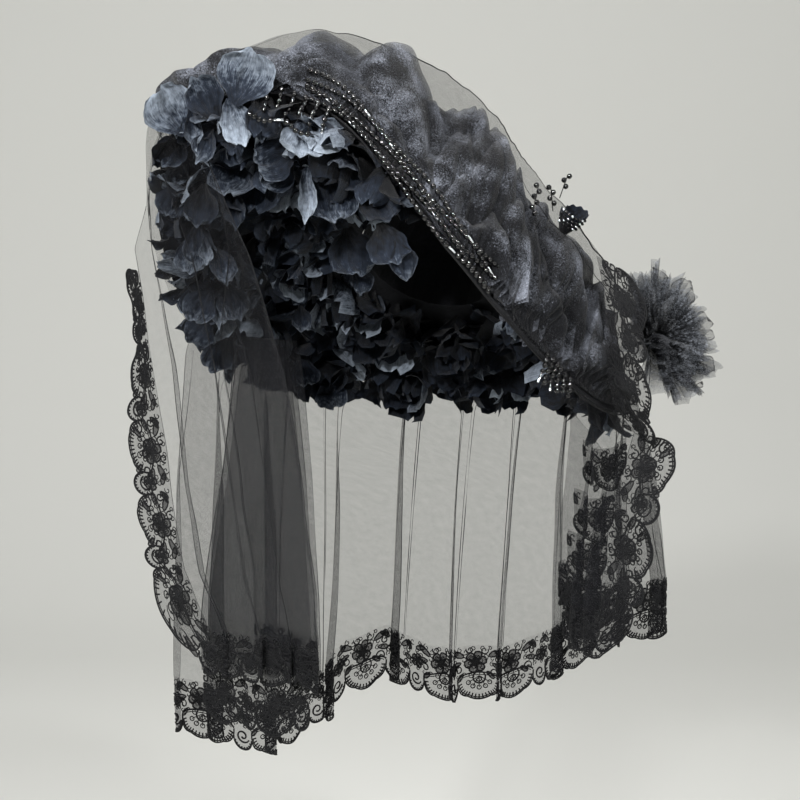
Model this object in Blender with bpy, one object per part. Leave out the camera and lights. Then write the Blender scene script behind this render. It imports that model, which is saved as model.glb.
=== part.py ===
"""Wide-brimmed mourning hat under a sheer lace-edged veil.

Metres, +Z up, wearer's front towards -Y. The origin is the centre of the head
opening. The hat is worn far back and tipped to one side, so its own axes lean:
CROWN_UP points out of the top of the crown, HAT_SIDE to the low side and
HAT_BACK to the nape. A hat place is an angle round the crown from HAT_SIDE
towards HAT_BACK, a reach away from the crown's axis and a rise along it.
"""
import math
from collections import namedtuple

import bmesh
import bpy
import numpy as np
from mathutils import Vector
from mathutils.bvhtree import BVHTree

# Hat axes
CROWN_UP = Vector((0.26, 0.55, 0.79)).normalized()
HAT_SIDE = (Vector((1.0, 0.0, 0.0)) - CROWN_UP * CROWN_UP.x).normalized()
HAT_BACK = CROWN_UP.cross(HAT_SIDE)

# Crown: a domed cap for a head 58 cm round
HEAD_HALF_WIDTH = 0.085
HEAD_HALF_LENGTH = 0.100
CROWN_WALL = 0.0025
CROWN_COLUMNS = 24
CROWN_TOP = 0.125
CrownRing = namedtuple("CrownRing", "width rise")
CROWN_RINGS = (
    CrownRing(1.00, 0.000),
    CrownRing(1.00, 0.030),
    CrownRing(0.97, 0.072),
    CrownRing(0.80, 0.105),
    CrownRing(0.42, 0.121),
)

# Brim: from the crown's base to a long swept edge
SEWN_GAP = 0.0009
BRIM_WALL = 0.002
BRIM_BASE_RISE = 0.004
BRIM_SWEEP = 1.8
COLUMN_STEP = 7.5
BRIM_ROWS = (0.0, 0.25, 0.5, 0.75, 1.0)
BRIM_EDGE_SHARE = 0.96
SLOPE_STEP = 0.02
SEARCH_REACH = 0.02
EdgeStation = namedtuple("EdgeStation", "angle reach rise")
BRIM_EDGE = (
    EdgeStation(-168.0, 0.333, -0.027),
    EdgeStation(-151.0, 0.347, -0.006),
    EdgeStation(-137.0, 0.343, 0.003),
    EdgeStation(-123.0, 0.325, 0.003),
    EdgeStation(-111.0, 0.297, -0.013),
    EdgeStation(-101.0, 0.266, -0.043),
    EdgeStation(-91.0, 0.239, -0.072),
    EdgeStation(-78.0, 0.218, -0.106),
    EdgeStation(-57.0, 0.196, -0.134),
    EdgeStation(-30.0, 0.196, -0.150),
    EdgeStation(-5.0, 0.227, -0.144),
    EdgeStation(13.0, 0.271, -0.107),
    EdgeStation(27.0, 0.300, -0.037),
    EdgeStation(45.0, 0.299, 0.017),
    EdgeStation(67.0, 0.304, 0.026),
    EdgeStation(89.0, 0.305, 0.000),
    EdgeStation(111.0, 0.310, -0.035),
    EdgeStation(132.0, 0.324, -0.074),
    EdgeStation(152.0, 0.328, -0.071),
    EdgeStation(172.0, 0.328, -0.048),
)

# Blossoms sewn to the underside, in two rings
BLOSSOM_GAP = 0.0006
BLOSSOM_CORE = 0.008
BLOSSOM_DEPTH = 0.006
BLOSSOM_TURN = 0.37
PETAL_COUNT = 6
PETAL_THICKNESS = 0.0025
PETAL_RISES = (20.0, 62.0)
PetalSection = namedtuple("PetalSection", "along width curl")
PETAL_SECTIONS = (
    PetalSection(0.34, 0.34, 0.00),
    PetalSection(0.76, 0.96, 0.05),
    PetalSection(1.00, 0.62, 0.16),
)
PETAL_WIDTH = 0.044
BlossomRing = namedtuple("BlossomRing", "count first step along petal")
BLOSSOM_RINGS = (
    BlossomRing(10, 19.0, 25.2, 0.76, 0.048),
    BlossomRing(7, 44.0, 31.0, 0.30, 0.038),
)

# Tulle fans standing on the brim, a front row and a taller row behind
FAN_WALL = 0.0012
FAN_SEAT_GAP = 0.0013
FAN_COLUMNS = 12
FAN_PLEAT = 0.0045
FAN_OPENING = 0.6
FAN_HEADROOM = 0.010
FAN_ROUNDING = 0.22
FAN_ROUND_POWER = 2.5
FAN_LEVELS = (0.0, 0.4, 0.75, 1.0)
FanRow = namedtuple("FanRow", "count first step along inset height base_half top_half")
FAN_ROWS = (
    FanRow(5, -137.0, 29.5, 0.84, 0.016, 0.80, 6.0, 13.5),
    FanRow(4, -122.0, 29.5, 0.62, 0.036, 0.97, 6.0, 13.5),
)

# Beads: a thick band along the front edge, and panels of hanging strings
BEAD_CLEARANCE = 0.0007
BEAD_DEPTH = 0.005
BeadPanel = namedtuple("BeadPanel", "name start stop top bottom steps")
BEAD_PANELS = (
    BeadPanel("bead_band", -117.0, -61.0, 0.034, -0.002, 14),
    BeadPanel("bead_fringe", -131.5, -118.5, 0.002, -0.046, 5),
    BeadPanel("bead_strings_side", -136.6, -134.0, 0.002, -0.046, 2),
    BeadPanel("bead_drops", -36.0, -22.0, 0.030, -0.010, 4),
)

# Veil: ring over the fans, then the edge row, then the curtain at the back
VEIL_WALL = 0.0012
VEIL_APEX_GAP = 0.0005
VEIL_RING_SHARES = (0.30, 0.65, 1.0)
VEIL_DOME = 2.6
CREST = (
    EdgeStation(-170.0, 0.338, 0.020),
    EdgeStation(-155.0, 0.366, 0.040),
    EdgeStation(-135.0, 0.329, 0.082),
    EdgeStation(-125.0, 0.299, 0.114),
    EdgeStation(-112.0, 0.255, 0.124),
    EdgeStation(-96.0, 0.219, 0.118),
    EdgeStation(-82.0, 0.192, 0.110),
    EdgeStation(-54.0, 0.163, 0.077),
    EdgeStation(-26.0, 0.179, 0.053),
    EdgeStation(-6.0, 0.227, 0.010),
    EdgeStation(13.0, 0.264, -0.018),
    EdgeStation(45.0, 0.275, 0.060),
    EdgeStation(90.0, 0.270, 0.070),
    EdgeStation(130.0, 0.292, 0.000),
    EdgeStation(170.0, 0.320, 0.000),
)
SHOULDER_SHARE = 0.55
SHOULDER_BULGE = 0.012
TUCK_FROM = -136.0
TUCK_TO = -59.0
TUCK_INSET = 0.003
TUCK_RISE = 0.018
EDGE_OUTSET = 0.010
EDGE_DROP = 0.004
CURTAIN_FROM = 15.0
CURTAIN_TO = 150.0
CURTAIN_LEVELS = (0.22, 0.5, 0.75, 1.0)
PLEAT_DEPTH = 0.013
CURTAIN_SWING = 0.7
HemStation = namedtuple("HemStation", "angle x y z")
VEIL_HEM = (
    HemStation(15.0, 0.300, 0.050, -0.474),
    HemStation(27.0, 0.290, 0.100, -0.481),
    HemStation(35.0, 0.262, 0.140, -0.505),
    HemStation(45.0, 0.220, 0.185, -0.537),
    HemStation(55.0, 0.170, 0.225, -0.584),
    HemStation(65.0, 0.112, 0.250, -0.617),
    HemStation(85.0, 0.006, 0.265, -0.626),
    HemStation(95.0, -0.050, 0.262, -0.590),
    HemStation(105.0, -0.105, 0.252, -0.610),
    HemStation(118.0, -0.175, 0.225, -0.672),
    HemStation(130.0, -0.230, 0.190, -0.676),
    HemStation(140.0, -0.282, 0.150, -0.640),
    HemStation(150.0, -0.317, 0.100, -0.616),
)

# Turned-back falls of the veil at both sides
FALL_OFFSET = 0.0018
LEFT_WAVE = 0.012
RIGHT_WAVE = 0.008
FallRow = namedtuple("FallRow", "z free_x free_y fold_x fold_y")
LEFT_FALL_ANGLES = (-172.5, -165.0, -157.5, -150.0, -142.5)
LEFT_FALL = (
    FallRow(0.020, -0.344, -0.064, -0.202, -0.194),
    FallRow(-0.110, -0.324, -0.072, -0.164, -0.186),
    FallRow(-0.250, -0.308, -0.078, -0.146, -0.178),
    FallRow(-0.360, -0.290, -0.086, -0.134, -0.172),
    FallRow(-0.425, -0.262, -0.098, -0.129, -0.170),
)
LEFT_RETURN_FROM = 2
RIGHT_FALL_ANGLES = (7.5, 0.0, -7.5, -15.0, -22.5)
RIGHT_FALL = (
    FallRow(-0.190, 0.236, -0.098, 0.160, -0.136),
    FallRow(-0.280, 0.208, -0.116, 0.161, -0.104),
    FallRow(-0.345, 0.200, -0.122, 0.163, -0.088),
    FallRow(-0.395, 0.194, -0.126, 0.164, -0.078),
)
RIGHT_RETURN_FROM = 1
ReturnStep = namedtuple("ReturnStep", "x y")
LEFT_RETURN = (ReturnStep(-0.006, 0.026), ReturnStep(-0.040, 0.070), ReturnStep(-0.080, 0.115))
RIGHT_RETURN = (ReturnStep(-0.006, 0.022), ReturnStep(0.032, 0.064), ReturnStep(0.080, 0.104))

# Lace borders
LACE_WALL = 0.0014
LACE_GAP = 0.0009
LACE_LEVELS = (0.0, 0.32, 0.68, 1.0)
LACE_SCALLOP = (0.72, 1.0, 0.94)
HEM_LACE = 0.072
SIDE_LACE = 0.055
LEFT_LACE_WAY = Vector((-0.80, 0.60, 0.0))
RIGHT_LACE_WAY = Vector((0.86, -0.45, -0.15)).normalized()

# Rosette at the tip of the brim
ROSETTE_ANGLE = 11.25
ROSETTE_AXIS = Vector((0.70, -0.55, 0.35)).normalized()
ROSETTE_SEAT = 0.0023
CORE_SIDES = 8
CoreRing = namedtuple("CoreRing", "up radius")
ROSETTE_CORE = (
    CoreRing(0.000, 0.0020),
    CoreRing(0.012, 0.0025),
    CoreRing(0.018, 0.0089),
    CoreRing(0.023, 0.0089),
    CoreRing(0.028, 0.0059),
    CoreRing(0.044, 0.0059),
    CoreRing(0.050, 0.0030),
)
Ruffle = namedtuple("Ruffle", "name throat reach depth waves wave columns up")
RUFFLES = (
    Ruffle("rosette_outer_ruffle", 0.0100, 0.074, 0.034, 9, 0.010, 36, 0.0205),
    Ruffle("rosette_inner_ruffle", 0.0070, 0.046, 0.036, 7, 0.006, 28, 0.0320),
)
RUFFLE_LEVELS = (0.0, 0.35, 0.7, 1.0)
RUFFLE_WALL = 0.0014
RUFFLE_FLARE = 1.3
RUFFLE_CUP = 0.7
RUFFLE_UNEVEN = 0.06

# Rolled bud and its bead sprays
BUD_ANGLE = -26.25
BUD_AXIS = Vector((0.75, 0.06, 0.66)).normalized()
BUD_SEAT = 0.0016
BUD_HEIGHT = 0.030
BUD_MOUTH = 0.017
BUD_FOOT = 0.007
BUD_TURN = 325.0
BUD_CLOSING = 0.12
BUD_COLUMNS = 14
BUD_LEVELS = (0.0, 0.5, 1.0)
BEAD_RADIUS = 0.0031
WIRE_RADIUS = 0.0009
BEAD_SHOULDERS = (0.28, 0.72)
BEAD_PITCH = 0.0072
BEAD_SIDES = 10
SPRAY_SEAT = 0.0020
Spray = namedtuple("Spray", "name angle beads wire lean_x lean_z")
SPRAYS = (
    Spray("bead_spray_low", -45.0, 5, 0.006, -0.25, 1.0),
    Spray("bead_spray_middle", -37.5, 3, 0.012, 0.20, 1.0),
    Spray("bead_spray_tall", -33.75, 3, 0.030, 0.55, 1.0),
)


def hat_point(angle, reach, rise):
    """World place of a hat place."""
    turn = math.radians(angle)
    across = HAT_SIDE * math.cos(turn) + HAT_BACK * math.sin(turn)
    return across * reach + CROWN_UP * rise


def outward(angle):
    """Direction away from the crown's axis."""
    return hat_point(angle, 1.0, 0.0)


def around(rows, column, angle):
    """One table column read at any angle, as a smooth closed curve."""
    angles = [row.angle for row in rows]
    values = [getattr(row, column) for row in rows]
    count = len(rows)
    angle = (angle + 180.0) % 360.0 - 180.0
    after = sum(1 for known in angles if known <= angle)

    def knot(index):
        turns = index // count
        return angles[index % count] + 360.0 * turns, values[index % count]

    (a0, v0), (a1, v1), (a2, v2), (a3, v3) = (knot(after + k) for k in (-2, -1, 0, 1))
    gap = a2 - a1
    share = (angle - a1) / gap
    start = (v2 - v0) / (a2 - a0) * gap
    end = (v3 - v1) / (a3 - a1) * gap
    square = share * share
    cube = square * share
    return (
        v1 * (2 * cube - 3 * square + 1)
        + start * (cube - 2 * square + share)
        + v2 * (3 * square - 2 * cube)
        + end * (cube - square)
    )


def blend(first, second, share):
    return first + (second - first) * share

# Finishes
SHARP_EDGE = 40.0
Finish = namedtuple("Finish", "name red green blue roughness")
FELT = Finish("black_felt", 0.012, 0.012, 0.014, 0.85)
ORGANZA = Finish("navy_organza_petals", 0.030, 0.036, 0.050, 0.60)
CRINOLINE = Finish("black_crinoline", 0.018, 0.018, 0.022, 0.70)
JET = Finish("jet_beads", 0.010, 0.010, 0.012, 0.12)
TULLE = Finish("black_tulle", 0.015, 0.015, 0.018, 0.80)
LACE = Finish("black_lace", 0.010, 0.010, 0.012, 0.75)


def columns():
    """Angles of the columns shared by the brim and the veil."""
    count = round(360.0 / COLUMN_STEP)
    return [-180.0 + COLUMN_STEP * index for index in range(count)]


def make_finish(look):
    """A plain material with one colour."""
    material = bpy.data.materials.new(look.name)
    material.use_nodes = True
    shader = material.node_tree.nodes["Principled BSDF"]
    shader.inputs["Base Color"].default_value = (look.red, look.green, look.blue, 1.0)
    shader.inputs["Roughness"].default_value = look.roughness
    return material


def add_object(name, mesh, material):
    """Turns a bmesh into a named, smooth-shaded object."""
    bmesh.ops.triangulate(mesh, faces=mesh.faces[:])
    data = bpy.data.meshes.new(name)
    mesh.to_mesh(data)
    mesh.free()
    data.shade_smooth()
    data.set_sharp_from_angle(angle=math.radians(SHARP_EDGE))
    data.materials.append(material)
    piece = bpy.data.objects.new(name, data)
    bpy.context.scene.collection.objects.link(piece)
    return piece


def add_sheet(name, rows, material, wall, closed=False, apex=None, pierced=()):
    """One cloth wall from rows of points; None leaves a place empty."""
    mesh = bmesh.new()
    grid = [[None if point is None else mesh.verts.new(point) for point in row] for row in rows]
    width = len(rows[0])
    span = width if closed else width - 1
    for level in range(len(grid) - 1):
        for index in range(span):
            following = (index + 1) % width
            upper, lower = grid[level], grid[level + 1]
            corners = (upper[index], upper[following], lower[following], lower[index])
            if None not in corners and (level, index) not in pierced:
                mesh.faces.new(corners)
    if apex is not None:
        top = mesh.verts.new(apex)
        for index in range(span):
            mesh.faces.new((top, grid[0][(index + 1) % width], grid[0][index]))
    loose = [vertex for vertex in mesh.verts if not vertex.link_faces]
    bmesh.ops.delete(mesh, geom=loose, context="VERTS")
    bmesh.ops.recalc_face_normals(mesh, faces=mesh.faces[:])
    piece = add_object(name, mesh, material)
    solidify = piece.modifiers.new("wall", "SOLIDIFY")
    solidify.thickness = wall
    solidify.offset = 0.0
    return piece


def add_loft(name, rings, material):
    """One closed solid through rings of equal length, capped at both ends."""
    mesh = bmesh.new()
    grid = [[mesh.verts.new(point) for point in ring] for ring in rings]
    width = len(rings[0])
    for upper, lower in zip(grid, grid[1:]):
        for index in range(width):
            following = (index + 1) % width
            mesh.faces.new((upper[index], upper[following], lower[following], lower[index]))
    mesh.faces.new(grid[0])
    mesh.faces.new(grid[-1])
    bmesh.ops.recalc_face_normals(mesh, faces=mesh.faces[:])
    return add_object(name, mesh, material)


def head_reach(angle):
    """Half-width of the head opening at an angle."""
    turn = math.radians(angle)
    side = math.cos(turn) / HEAD_HALF_WIDTH
    back = math.sin(turn) / HEAD_HALF_LENGTH
    return 1.0 / math.hypot(side, back)


def brim_point(angle, share):
    """Middle of the brim's cloth, from the crown at 0 to the edge at 1."""
    inner = head_reach(angle) + CROWN_WALL / 2 + SEWN_GAP
    reach = blend(inner, around(BRIM_EDGE, "reach", angle), share)
    drop = around(BRIM_EDGE, "rise", angle) - BRIM_BASE_RISE
    return hat_point(angle, reach, BRIM_BASE_RISE + drop * share**BRIM_SWEEP)


def brim_normal(angle, share):
    """Direction out of the brim's upper side."""
    along = brim_point(angle, share + SLOPE_STEP) - brim_point(angle, share - SLOPE_STEP)
    beside = brim_point(angle + 1.0, share) - brim_point(angle - 1.0, share)
    return along.cross(beside).normalized()


def surface_of(piece):
    """Search tree of an object's finished surface."""
    return BVHTree.FromObject(piece, bpy.context.evaluated_depsgraph_get())


def seat_on(surface, start, direction, gap):
    """Point a small gap short of a surface, looking from start along direction."""
    hit = surface.ray_cast(start, direction)[0]
    return hit - direction.normalized() * gap


def make_crown(material):
    angles = [360.0 / CROWN_COLUMNS * index for index in range(CROWN_COLUMNS)]
    rows = []
    for ring in reversed(CROWN_RINGS):
        rows.append([hat_point(a, head_reach(a) * ring.width, ring.rise) for a in angles])
    return add_sheet("crown", rows, material, CROWN_WALL, closed=True, apex=CROWN_UP * CROWN_TOP)


def make_brim(material):
    rows = [[brim_point(angle, share) for angle in columns()] for share in BRIM_ROWS]
    return add_sheet("brim", rows, material, BRIM_WALL, closed=True)


def petal_ring(base, length, direction, across, face, section):
    """Four corners of one petal section."""
    middle = base + direction * (length * section.along) + face * (length * section.curl)
    half_width = across * (PETAL_WIDTH / 2 * section.width)
    half_depth = face * (PETAL_THICKNESS / 2)
    return (
        middle - half_width - half_depth,
        middle + half_width - half_depth,
        middle + half_width + half_depth,
        middle - half_width + half_depth,
    )


def make_blossom(name, seat, axis, turn, petal, material):
    """Core with petals grown out of its sides, all one body."""
    mesh = bmesh.new()
    side = axis.orthogonal().normalized()
    other = axis.cross(side)

    def spoke(index):
        angle = 2 * math.pi * (index + turn) / PETAL_COUNT
        return side * math.cos(angle) + other * math.sin(angle)

    foot = [mesh.verts.new(seat + spoke(k) * BLOSSOM_CORE) for k in range(PETAL_COUNT)]
    head = [mesh.verts.new(seat + spoke(k) * BLOSSOM_CORE + axis * BLOSSOM_DEPTH) for k in range(PETAL_COUNT)]
    mesh.faces.new(foot)
    mesh.faces.new(head)
    for index in range(PETAL_COUNT):
        following = (index + 1) % PETAL_COUNT
        ring = (foot[index], foot[following], head[following], head[index])
        out = spoke(index + 0.5)
        rise = math.radians(PETAL_RISES[index % len(PETAL_RISES)])
        direction = out * math.cos(rise) + axis * math.sin(rise)
        across = axis.cross(out)
        face = across.cross(direction) * -1.0
        base = seat + out * BLOSSOM_CORE + axis * (BLOSSOM_DEPTH / 2)
        for section in PETAL_SECTIONS:
            corners = [mesh.verts.new(p) for p in petal_ring(base, petal, direction, across, face, section)]
            for corner in range(len(ring)):
                beyond = (corner + 1) % len(ring)
                mesh.faces.new((ring[corner], ring[beyond], corners[beyond], corners[corner]))
            ring = corners
        mesh.faces.new(ring)
    bmesh.ops.recalc_face_normals(mesh, faces=mesh.faces[:])
    return add_object(name, mesh, material)


def make_blossoms(brim, material):
    surface = surface_of(brim)
    number = 0
    for ring in BLOSSOM_RINGS:
        for index in range(ring.count):
            number += 1
            angle = ring.first + ring.step * index
            above = brim_normal(angle, ring.along)
            start = brim_point(angle, ring.along) - above * SEARCH_REACH
            seat = seat_on(surface, start, above, BLOSSOM_GAP)
            make_blossom(f"blossom_{number:02d}", seat, -above, BLOSSOM_TURN * number, ring.petal, material)


def fan_rows(surface, row, centre):
    """Points of one pleated fan, from its foot on the brim to its rounded top."""
    rows = []
    for level in FAN_LEVELS:
        points = []
        for index in range(FAN_COLUMNS + 1):
            across = 2.0 * index / FAN_COLUMNS - 1.0
            angle = centre + across * blend(row.base_half, row.top_half, level**FAN_OPENING)
            above = brim_normal(angle, row.along)
            foot = seat_on(surface, brim_point(angle, row.along) + above * SEARCH_REACH, -above, FAN_SEAT_GAP)
            top_reach = around(CREST, "reach", angle) - row.inset
            top_rise = blend(foot.dot(CROWN_UP), around(CREST, "rise", angle) - FAN_HEADROOM, row.height)
            top = hat_point(angle, top_reach, top_rise)
            height = level * (1.0 - FAN_ROUNDING * abs(across) ** FAN_ROUND_POWER)
            pleat = FAN_PLEAT * level * (1 if index % 2 else -1)
            points.append(blend(foot, top, height) + outward(angle) * pleat)
        rows.append(points)
    return rows


def make_fans(brim, material):
    surface = surface_of(brim)
    number = 0
    for row in FAN_ROWS:
        for index in range(row.count):
            number += 1
            centre = row.first + row.step * index
            add_sheet(f"tulle_fan_{number}", fan_rows(surface, row, centre), material, FAN_WALL)


def make_bead_panel(panel, material):
    """Flat bar of beads just outside the brim's edge."""
    rings = []
    for index in range(panel.steps + 1):
        angle = blend(panel.start, panel.stop, index / panel.steps)
        slant = abs(brim_normal(angle, BRIM_EDGE_SHARE).dot(outward(angle)))
        reach = around(BRIM_EDGE, "reach", angle) + BEAD_CLEARANCE + BRIM_WALL / 2 * slant
        rise = around(BRIM_EDGE, "rise", angle)
        rings.append((
            hat_point(angle, reach, rise + panel.bottom),
            hat_point(angle, reach + BEAD_DEPTH, rise + panel.bottom),
            hat_point(angle, reach + BEAD_DEPTH, rise + panel.top),
            hat_point(angle, reach, rise + panel.top),
        ))
    return add_loft(panel.name, rings, material)


def veil_edge(angle):
    """Lowest point of the veil on the brim: tucked behind the beads or outside the edge."""
    reach = around(BRIM_EDGE, "reach", angle)
    rise = around(BRIM_EDGE, "rise", angle)
    if TUCK_FROM < angle < TUCK_TO:
        return hat_point(angle, reach - TUCK_INSET, rise + TUCK_RISE)
    return hat_point(angle, reach + EDGE_OUTSET, rise - EDGE_DROP)


def crest_point(angle, share):
    """Veil over the crown, from its apex at 0 to the crest at 1."""
    apex = CROWN_TOP + CROWN_WALL / 2 + VEIL_APEX_GAP + VEIL_WALL / 2
    reach = around(CREST, "reach", angle) * share
    rise = blend(apex, around(CREST, "rise", angle), share**VEIL_DOME)
    return hat_point(angle, reach, rise)


def hem_point(angle):
    """Lowest edge of the lace under the back curtain."""
    angles = [row.angle for row in VEIL_HEM]
    place = [float(np.interp(angle, angles, [getattr(row, axis) for row in VEIL_HEM])) for axis in "xyz"]
    return Vector(place)


def curtain_point(angle, share):
    """Back curtain, from the brim's edge at 0 to the top of its lace at 1."""
    start = veil_edge(angle)
    end = hem_point(angle)
    end.z += HEM_LACE
    point = blend(start, end, share)
    swing = share**CURTAIN_SWING
    point.x = blend(start.x, end.x, swing)
    point.y = blend(start.y, end.y, swing)
    away = Vector((point.x, point.y, 0.0)).normalized()
    fold = 1 if round(angle / COLUMN_STEP) % 2 else -1
    return point + away * (PLEAT_DEPTH * share * fold)


def in_curtain(angle):
    return CURTAIN_FROM <= angle <= CURTAIN_TO


def veil_rows():
    rows = [[crest_point(angle, share) for angle in columns()] for share in VEIL_RING_SHARES]
    shoulder = []
    for angle in columns():
        middle = blend(crest_point(angle, 1.0), veil_edge(angle), SHOULDER_SHARE)
        shoulder.append(middle + outward(angle) * SHOULDER_BULGE)
    rows.append(shoulder)
    rows.append([veil_edge(angle) for angle in columns()])
    for share in CURTAIN_LEVELS:
        rows.append([curtain_point(angle, share) if in_curtain(angle) else None for angle in columns()])
    return rows


def make_veil(material):
    apex = crest_point(0.0, 0.0)
    return add_sheet("veil", veil_rows(), material, VEIL_WALL, closed=True, apex=apex)


def fall_rows(angles, table, turned, turned_from, depth):
    """One turned-back fall, from its seat on the veil's edge to the top of its lace."""
    blank = [None] * len(turned)
    rows = [[veil_edge(angle) + outward(angle) * FALL_OFFSET for angle in angles] + blank]
    for level, row in enumerate(table):
        free = Vector((row.free_x, row.free_y, row.z))
        fold = Vector((row.fold_x, row.fold_y, row.z))
        sideways = (fold - free).cross(Vector((0.0, 0.0, 1.0))).normalized()
        points = []
        for index in range(len(angles)):
            wave = depth * (1 if index % 2 else -1) * min(1.0, (level + 1) / 3)
            points.append(blend(free, fold, index / (len(angles) - 1)) + sideways * wave)
        for step in turned:
            shown = level >= turned_from
            points.append(points[len(angles) - 1] + Vector((step.x, step.y, 0.0)) if shown else None)
        rows.append(points)
    return rows


def lace_border(name, boundary, directions, height, material):
    """Pierced, scalloped strip that carries on from a sheet's edge."""
    points, ways = [boundary[0]], [directions[0]]
    for index in range(1, len(boundary)):
        points += [blend(boundary[index - 1], boundary[index], 0.5), boundary[index]]
        ways += [blend(directions[index - 1], directions[index], 0.5), directions[index]]
    rows = []
    for level in LACE_LEVELS:
        row = []
        for index, (point, way) in enumerate(zip(points, ways)):
            depth = level * height
            if level == 1.0:
                depth *= LACE_SCALLOP[index % len(LACE_SCALLOP)]
            row.append(point + way * (LACE_GAP + depth))
        rows.append(row)
    pierced = {(1, index) for index in range(1, len(points) - 2, 2)}
    return add_sheet(name, rows, material, LACE_WALL, pierced=pierced)


def make_hem_lace(material):
    angles = [angle for angle in columns() if in_curtain(angle)]
    boundary = [curtain_point(angle, 1.0) for angle in angles]
    directions = [Vector((0.0, 0.0, -1.0)) for _ in angles]
    return lace_border("hem_lace", boundary, directions, HEM_LACE, material)


def make_fall_lace(name, rows, sideways, height, material):
    """Lace down a fall's free edge and along its hem."""
    side = [row[0] for row in rows[1:]]
    hem = [point for point in rows[-1][1:] if point is not None]
    down = Vector((0.0, 0.0, -1.0))
    directions = [sideways for _ in side[:-1]] + [(sideways + down).normalized()] + [down for _ in hem]
    return lace_border(name, side + hem, directions, height, material)


def make_rosette(material, core_material):
    seat = crest_point(ROSETTE_ANGLE, 1.0)
    across = ROSETTE_AXIS.orthogonal().normalized()
    other = ROSETTE_AXIS.cross(across)

    def ring(centre, radius, sides):
        turns = [2 * math.pi * index / sides for index in range(sides)]
        return [centre + (across * math.cos(t) + other * math.sin(t)) * radius for t in turns]

    foot = seat + outward(ROSETTE_ANGLE) * ROSETTE_SEAT
    core = [ring(foot + ROSETTE_AXIS * row.up, row.radius, CORE_SIDES) for row in ROSETTE_CORE]
    add_loft("rosette_core", core, core_material)
    for ruffle in RUFFLES:
        rows = []
        for level in RUFFLE_LEVELS:
            row = []
            for index in range(ruffle.columns):
                turn = 2 * math.pi * index / ruffle.columns
                wave = math.sin(ruffle.waves * turn) * level**RUFFLE_FLARE * ruffle.wave
                radius = blend(ruffle.throat, ruffle.reach, level**RUFFLE_FLARE)
                radius *= 1 + RUFFLE_UNEVEN * math.sin(3 * turn) * level
                centre = foot + ROSETTE_AXIS * (ruffle.up + ruffle.depth * level**RUFFLE_CUP + wave)
                row.append(centre + (across * math.cos(turn) + other * math.sin(turn)) * radius)
            rows.append(row)
        add_sheet(ruffle.name, rows, material, RUFFLE_WALL, closed=True)


def make_bud(material):
    """Petal rolled into an open cone."""
    seat = crest_point(BUD_ANGLE, 1.0) + BUD_AXIS * BUD_SEAT
    across = BUD_AXIS.orthogonal().normalized()
    other = BUD_AXIS.cross(across)
    rows = []
    for level in BUD_LEVELS:
        row = []
        for index in range(BUD_COLUMNS + 1):
            share = index / BUD_COLUMNS
            turn = math.radians(BUD_TURN * share)
            radius = blend(BUD_FOOT, BUD_MOUTH, math.sin(level * math.pi / 2)) * (1 - BUD_CLOSING * share)
            centre = seat + BUD_AXIS * (BUD_HEIGHT * level)
            row.append(centre + (across * math.cos(turn) + other * math.sin(turn)) * radius)
        rows.append(row)
    return add_sheet("rolled_bud", rows, material, RUFFLE_WALL)


def make_spray(spray, material):
    """Beads threaded on a short wire that stands off the veil."""
    start = crest_point(spray.angle, 1.0) + outward(spray.angle) * SPRAY_SEAT
    way = Vector((spray.lean_x, 0.0, spray.lean_z)).normalized()
    across = way.orthogonal().normalized()
    other = way.cross(across)
    profile = [(0.0, WIRE_RADIUS), (spray.wire, WIRE_RADIUS)]
    for index in range(spray.beads):
        base = spray.wire + BEAD_PITCH * index
        profile += [
            (base + BEAD_PITCH * BEAD_SHOULDERS[0], BEAD_RADIUS),
            (base + BEAD_PITCH * BEAD_SHOULDERS[1], BEAD_RADIUS),
            (base + BEAD_PITCH, WIRE_RADIUS),
        ]
    rings = []
    for along, radius in profile:
        turns = [2 * math.pi * index / BEAD_SIDES for index in range(BEAD_SIDES)]
        centre = start + way * along
        rings.append([centre + (across * math.cos(t) + other * math.sin(t)) * radius for t in turns])
    return add_loft(spray.name, rings, material)


def main():
    for existing in list(bpy.data.objects):
        bpy.data.objects.remove(existing)
    felt = make_finish(FELT)
    organza = make_finish(ORGANZA)
    crinoline = make_finish(CRINOLINE)
    jet = make_finish(JET)
    tulle = make_finish(TULLE)
    lace = make_finish(LACE)

    make_crown(felt)
    brim = make_brim(felt)
    make_blossoms(brim, organza)
    make_fans(brim, crinoline)
    for panel in BEAD_PANELS:
        make_bead_panel(panel, jet)
    make_veil(tulle)
    left = fall_rows(LEFT_FALL_ANGLES, LEFT_FALL, LEFT_RETURN, LEFT_RETURN_FROM, LEFT_WAVE)
    right = fall_rows(RIGHT_FALL_ANGLES, RIGHT_FALL, RIGHT_RETURN, RIGHT_RETURN_FROM, RIGHT_WAVE)
    add_sheet("veil_left_fall", left, tulle, VEIL_WALL)
    add_sheet("veil_right_fall", right, tulle, VEIL_WALL)
    make_hem_lace(lace)
    make_fall_lace("left_fall_lace", left, LEFT_LACE_WAY, SIDE_LACE, lace)
    make_fall_lace("right_fall_lace", right, RIGHT_LACE_WAY, SIDE_LACE, lace)
    make_rosette(crinoline, felt)
    make_bud(organza)
    for spray in SPRAYS:
        make_spray(spray, jet)


main()
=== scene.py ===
"""Looks of the mourning hat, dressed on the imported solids.

Metres, in the frame's own axes. The cloth pieces follow the same hat places as
the solids: an angle round the crown, a reach away from its axis, a rise along it.
"""
import math
from collections import namedtuple

import bpy
import numpy as np
from mathutils import Matrix, Vector


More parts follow.
